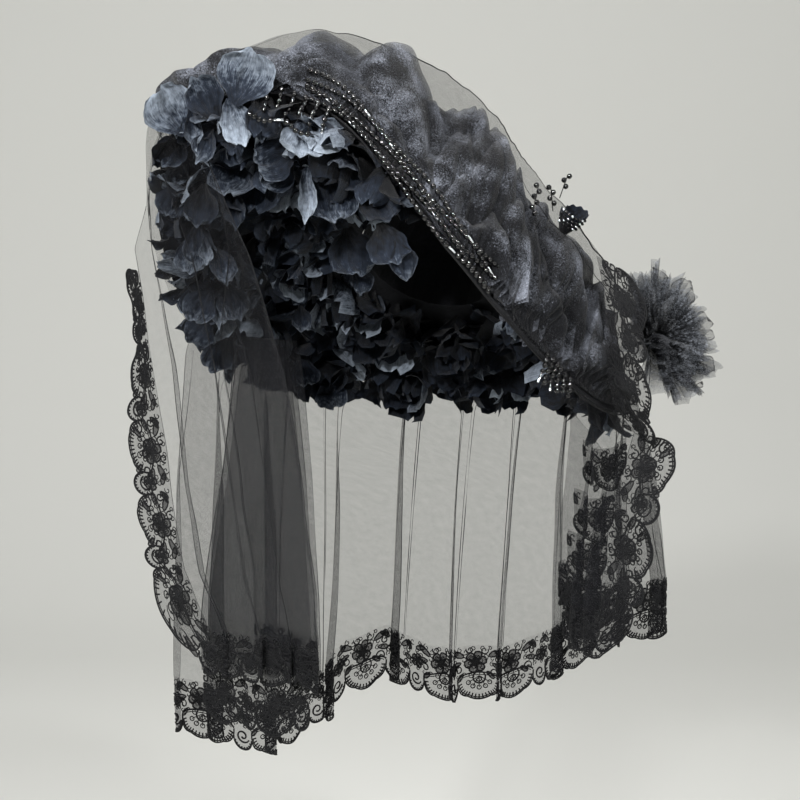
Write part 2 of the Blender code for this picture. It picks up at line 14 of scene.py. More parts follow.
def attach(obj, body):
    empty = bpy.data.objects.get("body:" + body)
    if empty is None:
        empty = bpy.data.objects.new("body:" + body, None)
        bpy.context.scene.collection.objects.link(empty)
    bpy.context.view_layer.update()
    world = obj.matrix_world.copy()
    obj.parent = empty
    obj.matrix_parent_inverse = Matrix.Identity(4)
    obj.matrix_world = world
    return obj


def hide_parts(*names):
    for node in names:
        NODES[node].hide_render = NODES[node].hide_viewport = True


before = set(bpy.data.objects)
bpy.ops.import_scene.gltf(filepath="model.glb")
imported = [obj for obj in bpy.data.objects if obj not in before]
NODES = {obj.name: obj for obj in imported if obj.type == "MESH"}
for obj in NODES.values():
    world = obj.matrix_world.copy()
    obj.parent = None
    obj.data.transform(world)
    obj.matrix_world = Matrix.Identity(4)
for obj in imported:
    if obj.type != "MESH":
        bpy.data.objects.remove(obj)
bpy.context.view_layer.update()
BODY = "root"

# Camera and studio, from the photograph's viewing angle
CAMERA_DISTANCE = 2.2
CAMERA_ELEVATION = 8.0
CAMERA_TARGET = (-0.0360, -0.0230, -0.1640)
FRAME_HALF_WIDTH = 0.48
SENSOR = 36.0
FLOOR_HEIGHT = -1.40
BACKDROP_HALF = 6.0
BACKDROP_BEND = 1.5
BACKDROP_BACK = 3.2


def table(columns, *rows):
    """Rows of numbers whose columns have names."""
    kind = namedtuple("Row", columns)
    return tuple(kind(*row) for row in rows)


# Hat axes and tables, as in the solids
CROWN_UP = np.array((0.26, 0.55, 0.79)) / np.linalg.norm((0.26, 0.55, 0.79))
HAT_SIDE = np.array((1.0, 0.0, 0.0)) - CROWN_UP * CROWN_UP[0]
HAT_SIDE /= np.linalg.norm(HAT_SIDE)
HAT_BACK = np.cross(CROWN_UP, HAT_SIDE)
DOWN = np.array((0.0, 0.0, -1.0))
UP = np.array((0.0, 0.0, 1.0))

HEAD_HALF_WIDTH = 0.085
HEAD_HALF_LENGTH = 0.100
CROWN_WALL = 0.0025
CROWN_TOP = 0.125
BRIM_WALL = 0.002
BRIM_BASE_RISE = 0.004
BRIM_SWEEP = 1.8
BRIM_EDGE = table(
    "angle reach rise",
    (-168.0, 0.333, -0.027), (-151.0, 0.347, -0.006), (-137.0, 0.343, 0.003), (-123.0, 0.325, 0.003),
    (-111.0, 0.297, -0.013), (-101.0, 0.266, -0.043), (-91.0, 0.239, -0.072), (-78.0, 0.218, -0.106),
    (-57.0, 0.196, -0.134), (-30.0, 0.196, -0.150), (-5.0, 0.227, -0.144), (13.0, 0.271, -0.107),
    (27.0, 0.300, -0.037), (45.0, 0.299, 0.017), (67.0, 0.304, 0.026), (89.0, 0.305, 0.000),
    (111.0, 0.310, -0.035), (132.0, 0.324, -0.074), (152.0, 0.328, -0.071), (172.0, 0.328, -0.048))
CREST = table(
    "angle reach rise",
    (-170.0, 0.338, 0.020), (-155.0, 0.366, 0.040), (-135.0, 0.329, 0.082), (-125.0, 0.299, 0.114),
    (-112.0, 0.255, 0.124), (-96.0, 0.219, 0.118), (-82.0, 0.192, 0.110), (-54.0, 0.163, 0.077),
    (-26.0, 0.179, 0.053), (-6.0, 0.227, 0.010), (13.0, 0.264, -0.018), (45.0, 0.275, 0.060),
    (90.0, 0.270, 0.070), (130.0, 0.292, 0.000), (170.0, 0.320, 0.000))
VEIL_DOME = 2.6
VEIL_APEX_GAP = 0.0016
SHOULDER_BULGE = 0.012
TUCK_FROM = -139.0
TUCK_TO = -56.0
TUCK_BLEND = 6.0
TUCK_INSET = 0.003
TUCK_RISE = 0.036
EDGE_OUTSET = 0.010
EDGE_DROP = 0.004
CURTAIN_FROM = 15.0
CURTAIN_TO = 150.0
CURTAIN_SWING = 0.7
HEM_LACE = 0.072
VEIL_HEM = table(
    "angle x y z",
    (15.0, 0.300, 0.050, -0.474), (27.0, 0.290, 0.100, -0.481), (35.0, 0.262, 0.140, -0.505),
    (45.0, 0.220, 0.185, -0.537), (55.0, 0.170, 0.225, -0.584), (65.0, 0.112, 0.250, -0.617),
    (85.0, 0.006, 0.265, -0.626), (95.0, -0.050, 0.262, -0.590), (105.0, -0.105, 0.252, -0.610),
    (118.0, -0.175, 0.225, -0.672), (130.0, -0.230, 0.190, -0.676), (140.0, -0.282, 0.150, -0.640),
    (150.0, -0.317, 0.100, -0.616))
FALL_OFFSET = 0.0018
LEFT_FALL = table(
    "z free_x free_y fold_x fold_y",
    (0.020, -0.344, -0.064, -0.202, -0.194), (-0.110, -0.324, -0.072, -0.164, -0.186),
    (-0.250, -0.308, -0.078, -0.146, -0.178), (-0.360, -0.290, -0.086, -0.134, -0.172),
    (-0.425, -0.262, -0.098, -0.129, -0.170))
RIGHT_FALL = table(
    "z free_x free_y fold_x fold_y",
    (-0.190, 0.236, -0.098, 0.160, -0.136), (-0.280, 0.208, -0.116, 0.161, -0.104),
    (-0.345, 0.200, -0.122, 0.163, -0.088), (-0.395, 0.194, -0.126, 0.164, -0.078))
LEFT_RETURN = table(
    "x y",
    (0.0, 0.0), (-0.006, 0.026), (-0.040, 0.070), (-0.080, 0.115))
RIGHT_RETURN = table(
    "x y",
    (0.0, 0.0), (-0.006, 0.022), (0.032, 0.064), (0.080, 0.104))


def linear(code):
    """An sRGB hex colour as linear red, green, blue and alpha."""
    values = [int(code[k:k + 2], 16) / 255 for k in (1, 3, 5)]
    return tuple(v / 12.92 if v <= 0.04045 else ((v + 0.055) / 1.055) ** 2.4 for v in values) + (1.0,)


def unit(vectors):
    vectors = np.asarray(vectors, float)
    return vectors / np.maximum(np.linalg.norm(vectors, axis=-1, keepdims=True), 1e-12)


def mix(first, second, share):
    return first + (second - first) * share


def smooth(low, high, value):
    share = np.clip((np.asarray(value, float) - low) / (high - low), 0.0, 1.0)
    return share * share * (3 - 2 * share)


def hat_point(angle, reach, rise):
    """World places of hat places; every input may be an array."""
    turn = np.radians(np.asarray(angle, float))[..., None]
    across = HAT_SIDE * np.cos(turn) + HAT_BACK * np.sin(turn)
    return across * np.asarray(reach, float)[..., None] + CROWN_UP * np.asarray(rise, float)[..., None]


def outward(angle):
    angle = np.asarray(angle, float)
    return hat_point(angle, np.ones_like(angle), np.zeros_like(angle))


def around(rows, column, angle):
    """One table column read at any angles, as a smooth closed curve."""
    known = np.array([row.angle for row in rows])
    values = np.array([getattr(row, column) for row in rows])
    angle = (np.asarray(angle, float) + 180.0) % 360.0 - 180.0
    after = np.searchsorted(known, angle, side="right")

    def knot(step):
        index = after + step
        return known[index % len(rows)] + 360.0 * (index // len(rows)), values[index % len(rows)]

    (a0, v0), (a1, v1), (a2, v2), (a3, v3) = (knot(step) for step in (-2, -1, 0, 1))
    gap = a2 - a1
    share = (angle - a1) / gap
    start = (v2 - v0) / (a2 - a0) * gap
    end = (v3 - v1) / (a3 - a1) * gap
    square = share * share
    cube = square * share
    rising = v1 * (2 * cube - 3 * square + 1) + start * (cube - 2 * square + share)
    return rising + v2 * (3 * square - 2 * cube) + end * (cube - square)


def head_reach(angle):
    turn = np.radians(np.asarray(angle, float))
    return 1.0 / np.hypot(np.cos(turn) / HEAD_HALF_WIDTH, np.sin(turn) / HEAD_HALF_LENGTH)


def brim_point(angle, share):
    """Middle of the brim's cloth, from the crown at 0 to the edge at 1."""
    reach = mix(head_reach(angle) + CROWN_WALL, around(BRIM_EDGE, "reach", angle), share)
    drop = around(BRIM_EDGE, "rise", angle) - BRIM_BASE_RISE
    return hat_point(angle, reach, BRIM_BASE_RISE + drop * np.asarray(share, float) ** BRIM_SWEEP)


def brim_normal(angle, share, step=0.02):
    """Direction out of the brim's upper side."""
    along = brim_point(angle, share + step) - brim_point(angle, share - step)
    beside = brim_point(angle + 1.0, share) - brim_point(angle - 1.0, share)
    return unit(np.cross(along, beside))


def crest_point(angle, share):
    """Veil over the crown, from its apex at 0 to the crest at 1."""
    apex = CROWN_TOP + CROWN_WALL / 2 + VEIL_APEX_GAP
    reach = around(CREST, "reach", angle) * share
    return hat_point(angle, reach, mix(apex, around(CREST, "rise", angle), share**VEIL_DOME))


def tucked(angle):
    """1 where the veil's front edge is tucked behind the beads, 0 elsewhere."""
    angle = (np.asarray(angle, float) + 180.0) % 360.0 - 180.0
    rising = smooth(TUCK_FROM - TUCK_BLEND / 2, TUCK_FROM + TUCK_BLEND / 2, angle)
    return rising * (1 - smooth(TUCK_TO - TUCK_BLEND / 2, TUCK_TO + TUCK_BLEND / 2, angle))


def veil_edge(angle):
    """Lowest point of the veil on the brim."""
    share = tucked(angle)
    reach = around(BRIM_EDGE, "reach", angle) + mix(EDGE_OUTSET, -TUCK_INSET, share)
    rise = around(BRIM_EDGE, "rise", angle) + mix(-EDGE_DROP, TUCK_RISE, share)
    return hat_point(angle, reach, rise)


def table_at(rows, columns, value, key=None):
    """Table columns read between their rows, found by a key column or else by their order from 0."""
    known = [getattr(row, key) for row in rows] if key else range(len(rows))
    return np.stack([np.interp(value, known, [getattr(row, c) for row in rows]) for c in columns], -1)


def wander(u, v, seed, octaves=4, spread=1.9):
    """Smooth seeded unevenness between about -1 and 1, with features about 1 wide."""
    rng = np.random.default_rng(seed)
    total = np.zeros(np.broadcast(u, v).shape)
    weight = 0.0
    for octave in range(octaves):
        scale = spread**octave
        size = 0.6**octave
        for _ in range(3):
            turn, shift = rng.uniform(0, 2 * math.pi, 2)
            total += size * np.sin(2.2 * scale * (u * math.cos(turn) + v * math.sin(turn)) + shift)
        weight += size * 1.7
    return total / weight


def add_node(tree, kind, settings=None, inputs=None):
    """Adds a node; an input is a value, or another node's socket to link."""
    node = tree.nodes.new(kind)
    for name, value in (settings or {}).items():
        setattr(node, name, value)
    for name, value in (inputs or {}).items():
        if isinstance(value, bpy.types.NodeSocket):
            tree.links.new(value, node.inputs[name])
        else:
            node.inputs[name].default_value = value
    return node


def put_in_scene(name, data):
    thing = bpy.data.objects.new(name, data)
    bpy.context.scene.collection.objects.link(thing)
    return thing


def piece_from(name, points, faces, material, uv=None):
    """A smooth mesh object from points, faces and one UV place for each point."""
    mesh = bpy.data.meshes.new(name)
    faces = faces.tolist() if isinstance(faces, np.ndarray) else faces
    mesh.from_pydata(np.asarray(points).reshape(-1, 3).tolist(), [], faces)
    if uv is not None:
        layer = mesh.uv_layers.new(name="UVMap")
        corners = np.zeros(len(mesh.loops), np.int32)
        mesh.loops.foreach_get("vertex_index", corners)
        layer.data.foreach_set("uv", np.asarray(uv, np.float32).reshape(-1, 2)[corners].ravel())
    mesh.shade_smooth()
    mesh.materials.append(material)
    return put_in_scene(name, mesh)


def grid_faces(rows, columns, closed=False, start=0):
    """Quads of a grid of points, row by row."""
    row, column = np.meshgrid(np.arange(rows - 1), np.arange(columns if closed else columns - 1), indexing="ij")
    here, beside = row * columns + column, row * columns + (column + 1) % columns
    return np.stack((here, here + columns, beside + columns, beside), -1).reshape(-1, 4) + start


def arc_lengths(points):
    """Distance along rows of points, measured on the last-but-one axis."""
    steps = np.linalg.norm(np.diff(points, axis=-2), axis=-1)
    return np.concatenate([np.zeros(steps.shape[:-1] + (1,)), np.cumsum(steps, -1)], -1)


def cloth_uv(grid):
    """UV places of a grid of points, in metres of cloth."""
    return np.stack([arc_lengths(grid), arc_lengths(np.swapaxes(grid, 0, 1)).T], -1).reshape(-1, 2)


def dress(piece, slot, *replaced):
    """Fixes a piece to the hat's body and hides the solids it replaces; slot is not used."""
    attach(piece, BODY)
    if replaced:
        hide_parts(*replaced)
    return piece


# Geometry Nodes trees
def new_tree(name, inputs):
    tree = bpy.data.node_groups.new(name, "GeometryNodeTree")
    tree.interface.new_socket(name="Geometry", in_out="INPUT", socket_type="NodeSocketGeometry")
    for label, kind in inputs:
        tree.interface.new_socket(name=label, in_out="INPUT", socket_type=f"NodeSocket{kind}")
    tree.interface.new_socket(name="Geometry", in_out="OUTPUT", socket_type="NodeSocketGeometry")
    return tree, add_node(tree, "NodeGroupInput").outputs


def finish_tree(tree, geometry, material):
    """Every tree ends in Realize Instances, Set Material and smooth shading."""
    real = add_node(tree, "GeometryNodeRealizeInstances", inputs={"Geometry": geometry})
    painted = add_node(tree, "GeometryNodeSetMaterial", inputs={"Geometry": real.outputs[0], "Material": material})
    shaded = add_node(tree, "GeometryNodeSetShadeSmooth", inputs={"Geometry": painted.outputs[0]})
    add_node(tree, "NodeGroupOutput", inputs={"Geometry": shaded.outputs[0]})
    return tree


def attribute(tree, name, kind):
    node = add_node(tree, "GeometryNodeInputNamedAttribute", {"data_type": kind}, {"Name": name})
    return node.outputs["Attribute"]


def placed_parts_tree():
    """Parts of a collection placed on points, each turned and sized by the point, then crumpled."""
    tree, source = new_tree("placed_parts", [
        ("Parts", "Collection"), ("Crumple", "Float"), ("Crumple Size", "Float"), ("Material", "Material"),
    ])
    parts = add_node(tree, "GeometryNodeCollectionInfo", inputs={
        "Collection": source["Parts"], "Separate Children": True, "Reset Children": True})
    placed = add_node(tree, "GeometryNodeInstanceOnPoints", inputs={
        "Points": source["Geometry"], "Instance": parts.outputs[0], "Pick Instance": True,
        "Instance Index": attribute(tree, "kind", "INT"),
        "Rotation": attribute(tree, "turn", "FLOAT_VECTOR"),
        "Scale": attribute(tree, "size", "FLOAT_VECTOR")})
    real = add_node(tree, "GeometryNodeRealizeInstances", inputs={"Geometry": placed.outputs[0]})
    frequency = add_node(tree, "ShaderNodeMath", {"operation": "DIVIDE"}, {0: 1.0, 1: source["Crumple Size"]})
    waves = add_node(tree, "ShaderNodeTexNoise", inputs={"Scale": frequency.outputs[0], "Detail": 3.0})
    centred = add_node(tree, "ShaderNodeVectorMath", {"operation": "SUBTRACT"}, {
        0: waves.outputs["Color"], 1: (0.5, 0.5, 0.5)})
    pushed = add_node(tree, "ShaderNodeVectorMath", {"operation": "SCALE"}, {
        0: centred.outputs[0], "Scale": source["Crumple"]})
    moved = add_node(tree, "GeometryNodeSetPosition", inputs={
        "Geometry": real.outputs[0], "Offset": pushed.outputs[0]})
    return finish_tree(tree, moved.outputs[0], source["Material"])


def threads_tree():
    """Round threads along the edges of a mesh, as thick as its points say."""
    tree, source = new_tree("threads", [("Sides", "Int"), ("Material", "Material")])
    curve = add_node(tree, "GeometryNodeMeshToCurve", inputs={"Mesh": source["Geometry"]})
    ring = add_node(tree, "GeometryNodeCurvePrimitiveCircle", inputs={"Resolution": source["Sides"], "Radius": 1.0})
    tube = add_node(tree, "GeometryNodeCurveToMesh", inputs={
        "Curve": curve.outputs[0], "Profile Curve": ring.outputs["Curve"],
        "Scale": attribute(tree, "thick", "FLOAT"), "Fill Caps": True})
    return finish_tree(tree, tube.outputs[0], source["Material"])


def grow(name, mesh, tree, values):
    """Runs a tree on a mesh and keeps the result as a plain mesh object."""
    source = put_in_scene(name + "_source", mesh)
    modifier = source.modifiers.new("grow", "NODES")
    modifier.node_group = tree
    for item in tree.interface.items_tree:
        if item.in_out == "INPUT" and item.name in values:
            modifier[item.identifier] = values[item.name]
    source.update_tag()
    graph = bpy.context.evaluated_depsgraph_get()
    grown = bpy.data.meshes.new_from_object(source.evaluated_get(graph), depsgraph=graph)
    source.modifiers.remove(modifier)
    bpy.data.objects.remove(source)
    grown.name = name
    return put_in_scene(name, grown)


def grow_parts(name, places, parts, material, crumple=0.0, crumple_size=1.0):
    """Parts on their places; crumple is how far their points are pushed, over waves of crumple_size."""
    return grow(name, places.mesh(), TREES["parts"], {
        "Parts": parts, "Crumple": crumple, "Crumple Size": crumple_size, "Material": MATERIALS[material]})


def grow_threads(name, threads, sides, material):
    return grow(name, threads.mesh(), TREES["threads"], {"Sides": sides, "Material": MATERIALS[material]})


class Places:
    """Points for placed parts: where, how turned, how big, which part and how pale."""

    def __init__(self):
        self.rows = []

    def add(self, place, forward, up, size, kind=0, shade=0.0):
        """The part's Y goes along forward and its Z as near up as it can."""
        y = unit(forward)
        z = np.asarray(up, float) - y * np.dot(up, y)
        z = unit(z) if np.linalg.norm(z) > 1e-6 else unit(np.cross(y, (0.3, 0.9, 0.1)))
        turn = Matrix(np.stack([np.cross(y, z), y, z], 1).tolist()).to_euler("XYZ")
        size = (size, size, size) if np.isscalar(size) else size
        self.rows.append((tuple(place), tuple(turn), tuple(size), kind, shade))

    def mesh(self):
        mesh = bpy.data.meshes.new("places")
        mesh.from_pydata([row[0] for row in self.rows], [], [])
        columns = (("turn", "FLOAT_VECTOR", "vector", 1), ("size", "FLOAT_VECTOR", "vector", 2),
                   ("kind", "INT", "value", 3), ("shade", "FLOAT", "value", 4))
        for name, kind, field, column in columns:
            values = np.array([row[column] for row in self.rows]).ravel()
            mesh.attributes.new(name, kind, "POINT").data.foreach_set(field, values)
        return mesh


class Threads:
    """Polylines for round threads."""

    def __init__(self):
        self.points, self.edges, self.thick = [], [], []

    def add(self, line, radius, closed=False):
        start = len(self.points)
        line = np.asarray(line, float)
        self.points += line.tolist()
        self.thick += [radius] * len(line) if np.isscalar(radius) else list(radius)
        self.edges += [(start + k, start + k + 1) for k in range(len(line) - 1)]
        if closed:
            self.edges.append((start + len(line) - 1, start))

    def mesh(self):
        mesh = bpy.data.meshes.new("lines")
        mesh.from_pydata(self.points, self.edges, [])
        mesh.attributes.new("thick", "FLOAT", "POINT").data.foreach_set("value", np.array(self.thick, np.float32))
        return mesh


def parts_collection(name, makers):
    """Small parts kept in a collection outside the scene, in order."""
    collection = bpy.data.collections.new(name)
    for index, (points, faces, uv) in enumerate(makers):
        part = piece_from(f"{name}_{index:02d}", points, faces, MATERIALS["felt"], uv)
        bpy.context.scene.collection.objects.unlink(part)
        collection.objects.link(part)
    return collection


# Materials
TEXTURE_SCALE = 5.0  # A texture node's own scale


def new_material(name):
    material = bpy.data.materials.new(name)
    material.use_nodes = True
    material.node_tree.nodes.clear()
    return material, material.node_tree


def end_material(material, surface, cover=None):
    """Ends a material; cover is the share of the light that an open cloth stops."""
    tree = material.node_tree
    if cover is not None:
        hole = add_node(tree, "ShaderNodeBsdfTransparent").outputs[0]
        surface = add_node(tree, "ShaderNodeMixShader", inputs={0: cover, 1: hole, 2: surface}).outputs[0]
    add_node(tree, "ShaderNodeOutputMaterial", inputs={"Surface": surface})
    return material


def object_place(tree):
    return add_node(tree, "ShaderNodeTexCoord").outputs["Object"]


def cloth_place(tree):
    return add_node(tree, "ShaderNodeUVMap", {"uv_map": "UVMap"}).outputs[0]


def painted(tree, name):
    """A value that the mesh's points carry."""
    return add_node(tree, "ShaderNodeAttribute", {"attribute_name": name}).outputs["Fac"]


def pattern(tree, kind, size, coordinates, settings=None, stretch=(1.0, 1.0, 1.0), **inputs):
    """A texture whose features are about size wide, in the units of the coordinates."""
    scaled = add_node(tree, "ShaderNodeMapping", inputs={
        "Vector": coordinates, "Scale": tuple(share / (size * TEXTURE_SCALE) for share in stretch)})
    return add_node(tree, kind, settings, {"Vector": scaled.outputs[0], **inputs}).outputs


def noise(tree, size, coordinates, stretch=(1.0, 1.0, 1.0), **inputs):
    return pattern(tree, "ShaderNodeTexNoise", size, coordinates, stretch=stretch, **inputs)["Fac"]


def ramp(tree, value, low, high, start=0.0, end=1.0):
    """Carries value from the range low to high over to start to end."""
    return add_node(tree, "ShaderNodeMapRange", inputs={
        "Value": value, "From Min": low, "From Max": high, "To Min": start, "To Max": end}).outputs["Result"]


def colours(tree, share, first, second):
    """A blend of two colours, each a hex code or a socket."""
    first, second = (linear(c) if isinstance(c, str) else c for c in (first, second))
    return add_node(tree, "ShaderNodeMix", {"data_type": "RGBA"}, {0: share, 6: first, 7: second}).outputs[2]


def calculate(tree, operation, first, second=0.0, clamp=False):
    settings = {"operation": operation, "use_clamp": clamp}
    return add_node(tree, "ShaderNodeMath", settings, {0: first, 1: second}).outputs[0]


def sum_of(tree, *values):
    total = values[0]
    for value in values[1:]:
        total = calculate(tree, "ADD", total, value)
    return total


def finish(tree, colour, roughness, level, height=None, depth=0.0, sheen=0.0, sheen_roughness=0.5, metallic=0.0):
    """A surface with its gloss level; its relief follows height, to depth metres."""
    inputs = {"Base Color": colour, "Roughness": roughness, "Specular IOR Level": level, "Metallic": metallic,
              "Sheen Weight": sheen, "Sheen Roughness": sheen_roughness}
    if height is not None:
        bump = add_node(tree, "ShaderNodeBump", inputs={"Height": height, "Distance": depth, "Strength": 1.0})
        inputs["Normal"] = bump.outputs[0]
    return add_node(tree, "ShaderNodeBsdfPrincipled", inputs=inputs).outputs[0]


def wool_felt():
    """Black wool felt, blocked over steam: matt, with short fibres and faint mottling."""
    material, tree = new_material("black_wool_felt")
    place = object_place(tree)
    fibre = noise(tree, 0.00032, place, Detail=4.0)
    mottle = noise(tree, 0.0044, place, Detail=3.0)
    tint = colours(tree, ramp(tree, mottle, 0.3, 0.7), "#08090b", "#121317")
    return end_material(material, finish(tree, tint, 0.95, 0.06, fibre, 0.0006, 0.04))


ALONG_PETAL = (1.0, 0.10, 1.0)


def petal_rim(tree, map_uv, side, tip):
    """How near a petal's cut edge is, and the way along it; side and tip give a range and the most it adds."""
    split = add_node(tree, "ShaderNodeSeparateXYZ", inputs={0: map_uv}).outputs
    beside = calculate(tree, "ABSOLUTE", calculate(tree, "SUBTRACT", split["X"], 0.5))
    edges = (ramp(tree, beside, *side[:2], 0.0, side[2]), ramp(tree, split["Y"], *tip[:2], 0.0, tip[2]))
    return calculate(tree, "MAXIMUM", *edges), split["Y"]


def petal_organza():
    """Dyed silk organza cut into petals and crimped: creped, ribbed along its length, painted paler at its cut rim as a
    highlight and painted darker towards its root as shade.
    """
    material, tree = new_material("crimped_silk_organza")
    map_uv, place = cloth_place(tree), object_place(tree)
    rib = noise(tree, 0.02, map_uv, ALONG_PETAL, Detail=2.0)
    crepe = noise(tree, 0.0006, place, Detail=4.0, Roughness=0.65)
    mottle = noise(tree, 0.0048, place, Detail=2.0)
    # rim: a painted highlight, paler along the petal's cut edge
    rim, along = petal_rim(tree, map_uv, (0.42, 0.50, 0.13), (0.92, 1.0, 0.18))
    # Colour: the point's shade value (random tone with painted light), mottle, ribs, crepe, the painted rim highlight
    # and painted shade darker towards the root
    uneven = sum_of(tree, painted(tree, "shade"), ramp(tree, mottle, 0.3, 0.7, -0.10, 0.10),
                    ramp(tree, rib, 0.3, 0.7, -0.12, 0.12), ramp(tree, crepe, 0.35, 0.65, -0.05, 0.05),
                    rim, ramp(tree, along, 0.10, 0.85, -0.34, 0.06))
    deep = colours(tree, ramp(tree, uneven, 0.0, 0.5), "#040508", "#1f2734")
    tint = colours(tree, ramp(tree, uneven, 0.42, 1.15), deep, "#aab5c2")
    relief = calculate(tree, "ADD", rib, calculate(tree, "MULTIPLY", crepe, 0.8))
    surface = finish(tree, tint, 0.60, 0.16, relief, 0.0014, 0.06, 0.4)
    glow = add_node(tree, "ShaderNodeBsdfTranslucent", inputs={"Color": tint}).outputs[0]
    surface = add_node(tree, "ShaderNodeMixShader", inputs={0: 0.15, 1: surface, 2: glow}).outputs[0]
    return end_material(material, surface)


def crushed_net(name, dark, pale, cover, thinner, cloud_size):
    """Stiffened crinoline net crushed in the hand: layers lie every way, so it is mottled and nearly closed.

    cover is how much of the light it stops, thinner how much less along its free top, where only one or two layers
    stand up. Its colour carries painted glints in curled strokes and points, and painted shade where the mesh's points
    carry a value below zero.
    """
    material, tree = new_material(name)
    place, thin = object_place(tree), painted(tree, "thin")
    clouds = noise(tree, cloud_size, place, Detail=1.5, Roughness=0.4, Distortion=0.3)
    fibres = noise(tree, 0.0034, place, Detail=4.0, Roughness=0.80, Distortion=3.0)
    painted_glints = pattern(tree, "ShaderNodeTexVoronoi", 0.0036, place, {"feature": "F1"}, Randomness=1.0)["Distance"]
    # Colour: clouds of tone, painted glints from the fibres and cells, and the points' value, paler where the net is
    # barest and painted shade below zero
    share = sum_of(tree, ramp(tree, clouds, 0.30, 0.72, -0.22, 0.26), ramp(tree, fibres, 0.40, 0.66, -0.20, 0.44),
                   ramp(tree, painted_glints, 0.08, 0.36, 0.20, 0.0), calculate(tree, "MULTIPLY", thin, 0.24))
    closed = sum_of(tree, ramp(tree, clouds, 0.3, 0.7, cover - 0.10, cover + 0.08),
                    ramp(tree, fibres, 0.35, 0.65, -0.10, 0.10))
    bare = calculate(tree, "MULTIPLY", calculate(tree, "MAXIMUM", thin, 0.0), thinner)
    surface = finish(tree, colours(tree, share, dark, pale), 0.7, 0.1, fibres, 0.0008, 0.08)
    return end_material(material, surface, calculate(tree, "SUBTRACT", closed, bare, clamp=True))


def sheer_cloth(name, colour, pale, cell, bare, thread, cloud_size, cloud):
    """An open net: its threads cover more than the holes between them, unevenly over the cloth.

    cell is the mesh's width in metres, bare and thread are the cover in a hole and on a
    thread, and cloud is how much that cover wanders over patches of cloud_size.
    """
    material, tree = new_material(name)
    map_uv = cloth_place(tree)
    net = pattern(tree, "ShaderNodeTexVoronoi", cell, map_uv, {"feature": "DISTANCE_TO_EDGE"}, Randomness=0.35)
    clouds = noise(tree, cloud_size, map_uv, Detail=4.0, Roughness=0.62)
    cover = calculate(tree, "ADD", ramp(tree, net["Distance"], 0.04, 0.20, thread, bare),
                      ramp(tree, clouds, 0.3, 0.7, -cloud, cloud), clamp=True)
    tint = colours(tree, ramp(tree, clouds, 0.35, 0.7), colour, pale)
    return end_material(material, finish(tree, tint, 0.75, 0.1, sheen=0.04), cover)


def sheer_organza():
    """A single layer of charcoal organza: glassy in the middle, dark where its rim is sealed."""
    material, tree = new_material("single_layer_organza")
    map_uv = cloth_place(tree)
    rib = noise(tree, 0.016, map_uv, ALONG_PETAL, Detail=2.0)
    rim = petal_rim(tree, map_uv, (0.44, 0.49, 0.5), (0.93, 0.99, 0.5))[0]
    closed = calculate(tree, "ADD", ramp(tree, rib, 0.3, 0.7, 0.26, 0.50), rim, clamp=True)
    return end_material(material, finish(tree, linear("#1c1d21"), 0.5, 0.2, rib, 0.001), closed)


def lace_thread(name, dark, pale, roughness):
    """Corded cotton and rayon thread, twisted: near black, with small painted glints on each turn and the twist as
    relief.
    """
    material, tree = new_material(name)
    twist_and_painted_glint = noise(tree, 0.00036, object_place(tree), Detail=2.0)
    tint = colours(tree, ramp(tree, twist_and_painted_glint, 0.45, 0.75), dark, pale)
    return end_material(material, finish(tree, tint, roughness, 0.2, twist_and_painted_glint, 0.0006))


def glossy(name, colour, roughness, metallic, grain, level):
    """Hard bead stock with a faint unevenness in its gloss."""
    material, tree = new_material(name)
    fine = noise(tree, grain, object_place(tree), Detail=2.0)
    gloss = ramp(tree, fine, 0.3, 0.7, roughness * 0.7, roughness * 1.4)
    return end_material(material, finish(tree, linear(colour), gloss, level, metallic=metallic))


def studio_paper():
    """Pale matt paper sweep."""
    material, tree = new_material("pale_paper")
    return end_material(material, finish(tree, linear("#d0d0cc"), 1.0, 0.0))


MATERIALS = {
    "felt": wool_felt(),
    "petal": petal_organza(),
    # Silk tulle veil; its cells are finer than the eye parts at the photograph's distance
    "tulle": sheer_cloth("silk_tulle", "#0e0e10", "#1c1d20", 0.00048, 0.12, 0.40, 0.010, 0.04),
    # The same tulle gathered, three or four layers to each fold
    "gathered": sheer_cloth("gathered_tulle", "#0e0e10", "#1c1d20", 0.00044, 0.34, 0.60, 0.008, 0.06),
    # The curtain is the same tulle, doubled
    "doubled": sheer_cloth("doubled_tulle", "#0e0e10", "#1c1d20", 0.00048, 0.22, 0.50, 0.010, 0.05),
    # A rolled or pressed line of the net is darker than its open part
    "crease": lace_thread("tulle_crease", "#0b0b0d", "#1c1d20", 0.85),
    # The fans' net is thick and closed, the rosette's frayed and see-through at its rim
    "crinoline": crushed_net("crushed_crinoline", "#050609", "#969ba7", 0.93, 0.60, 0.030),
    "ruffle": crushed_net("frayed_crinoline", "#0c0d10", "#8b9098", 0.74, 0.45, 0.004),
    # One layer of organza with its cut edge sealed dark
    "sheer_petal": sheer_organza(),
    # Machine lace: an open ground, a shiny raised cord and dense stitched petals
    "net": sheer_cloth("lace_ground", "#0b0b0d", "#161619", 0.00052, 0.30, 0.60, 0.006, 0.06),
    "cord": lace_thread("lace_gimp_cord", "#030304", "#141518", 0.6),
    "stitch": sheer_cloth("open_satin_stitch", "#040405", "#121215", 0.00034, 0.70, 0.98, 0.0012, 0.14),
    # Black glass that shows only its points of light, and bugles lined with silver
    "jet": glossy("cut_jet_glass", "#010102", 0.07, 0.0, 0.0006, 0.65),
    "silver": glossy("silver_lined_glass", "#d6dade", 0.14, 1.0, 0.0004, 0.5),
    "paper": studio_paper(),
}
TREES = {"parts": placed_parts_tree(), "threads": threads_tree()}


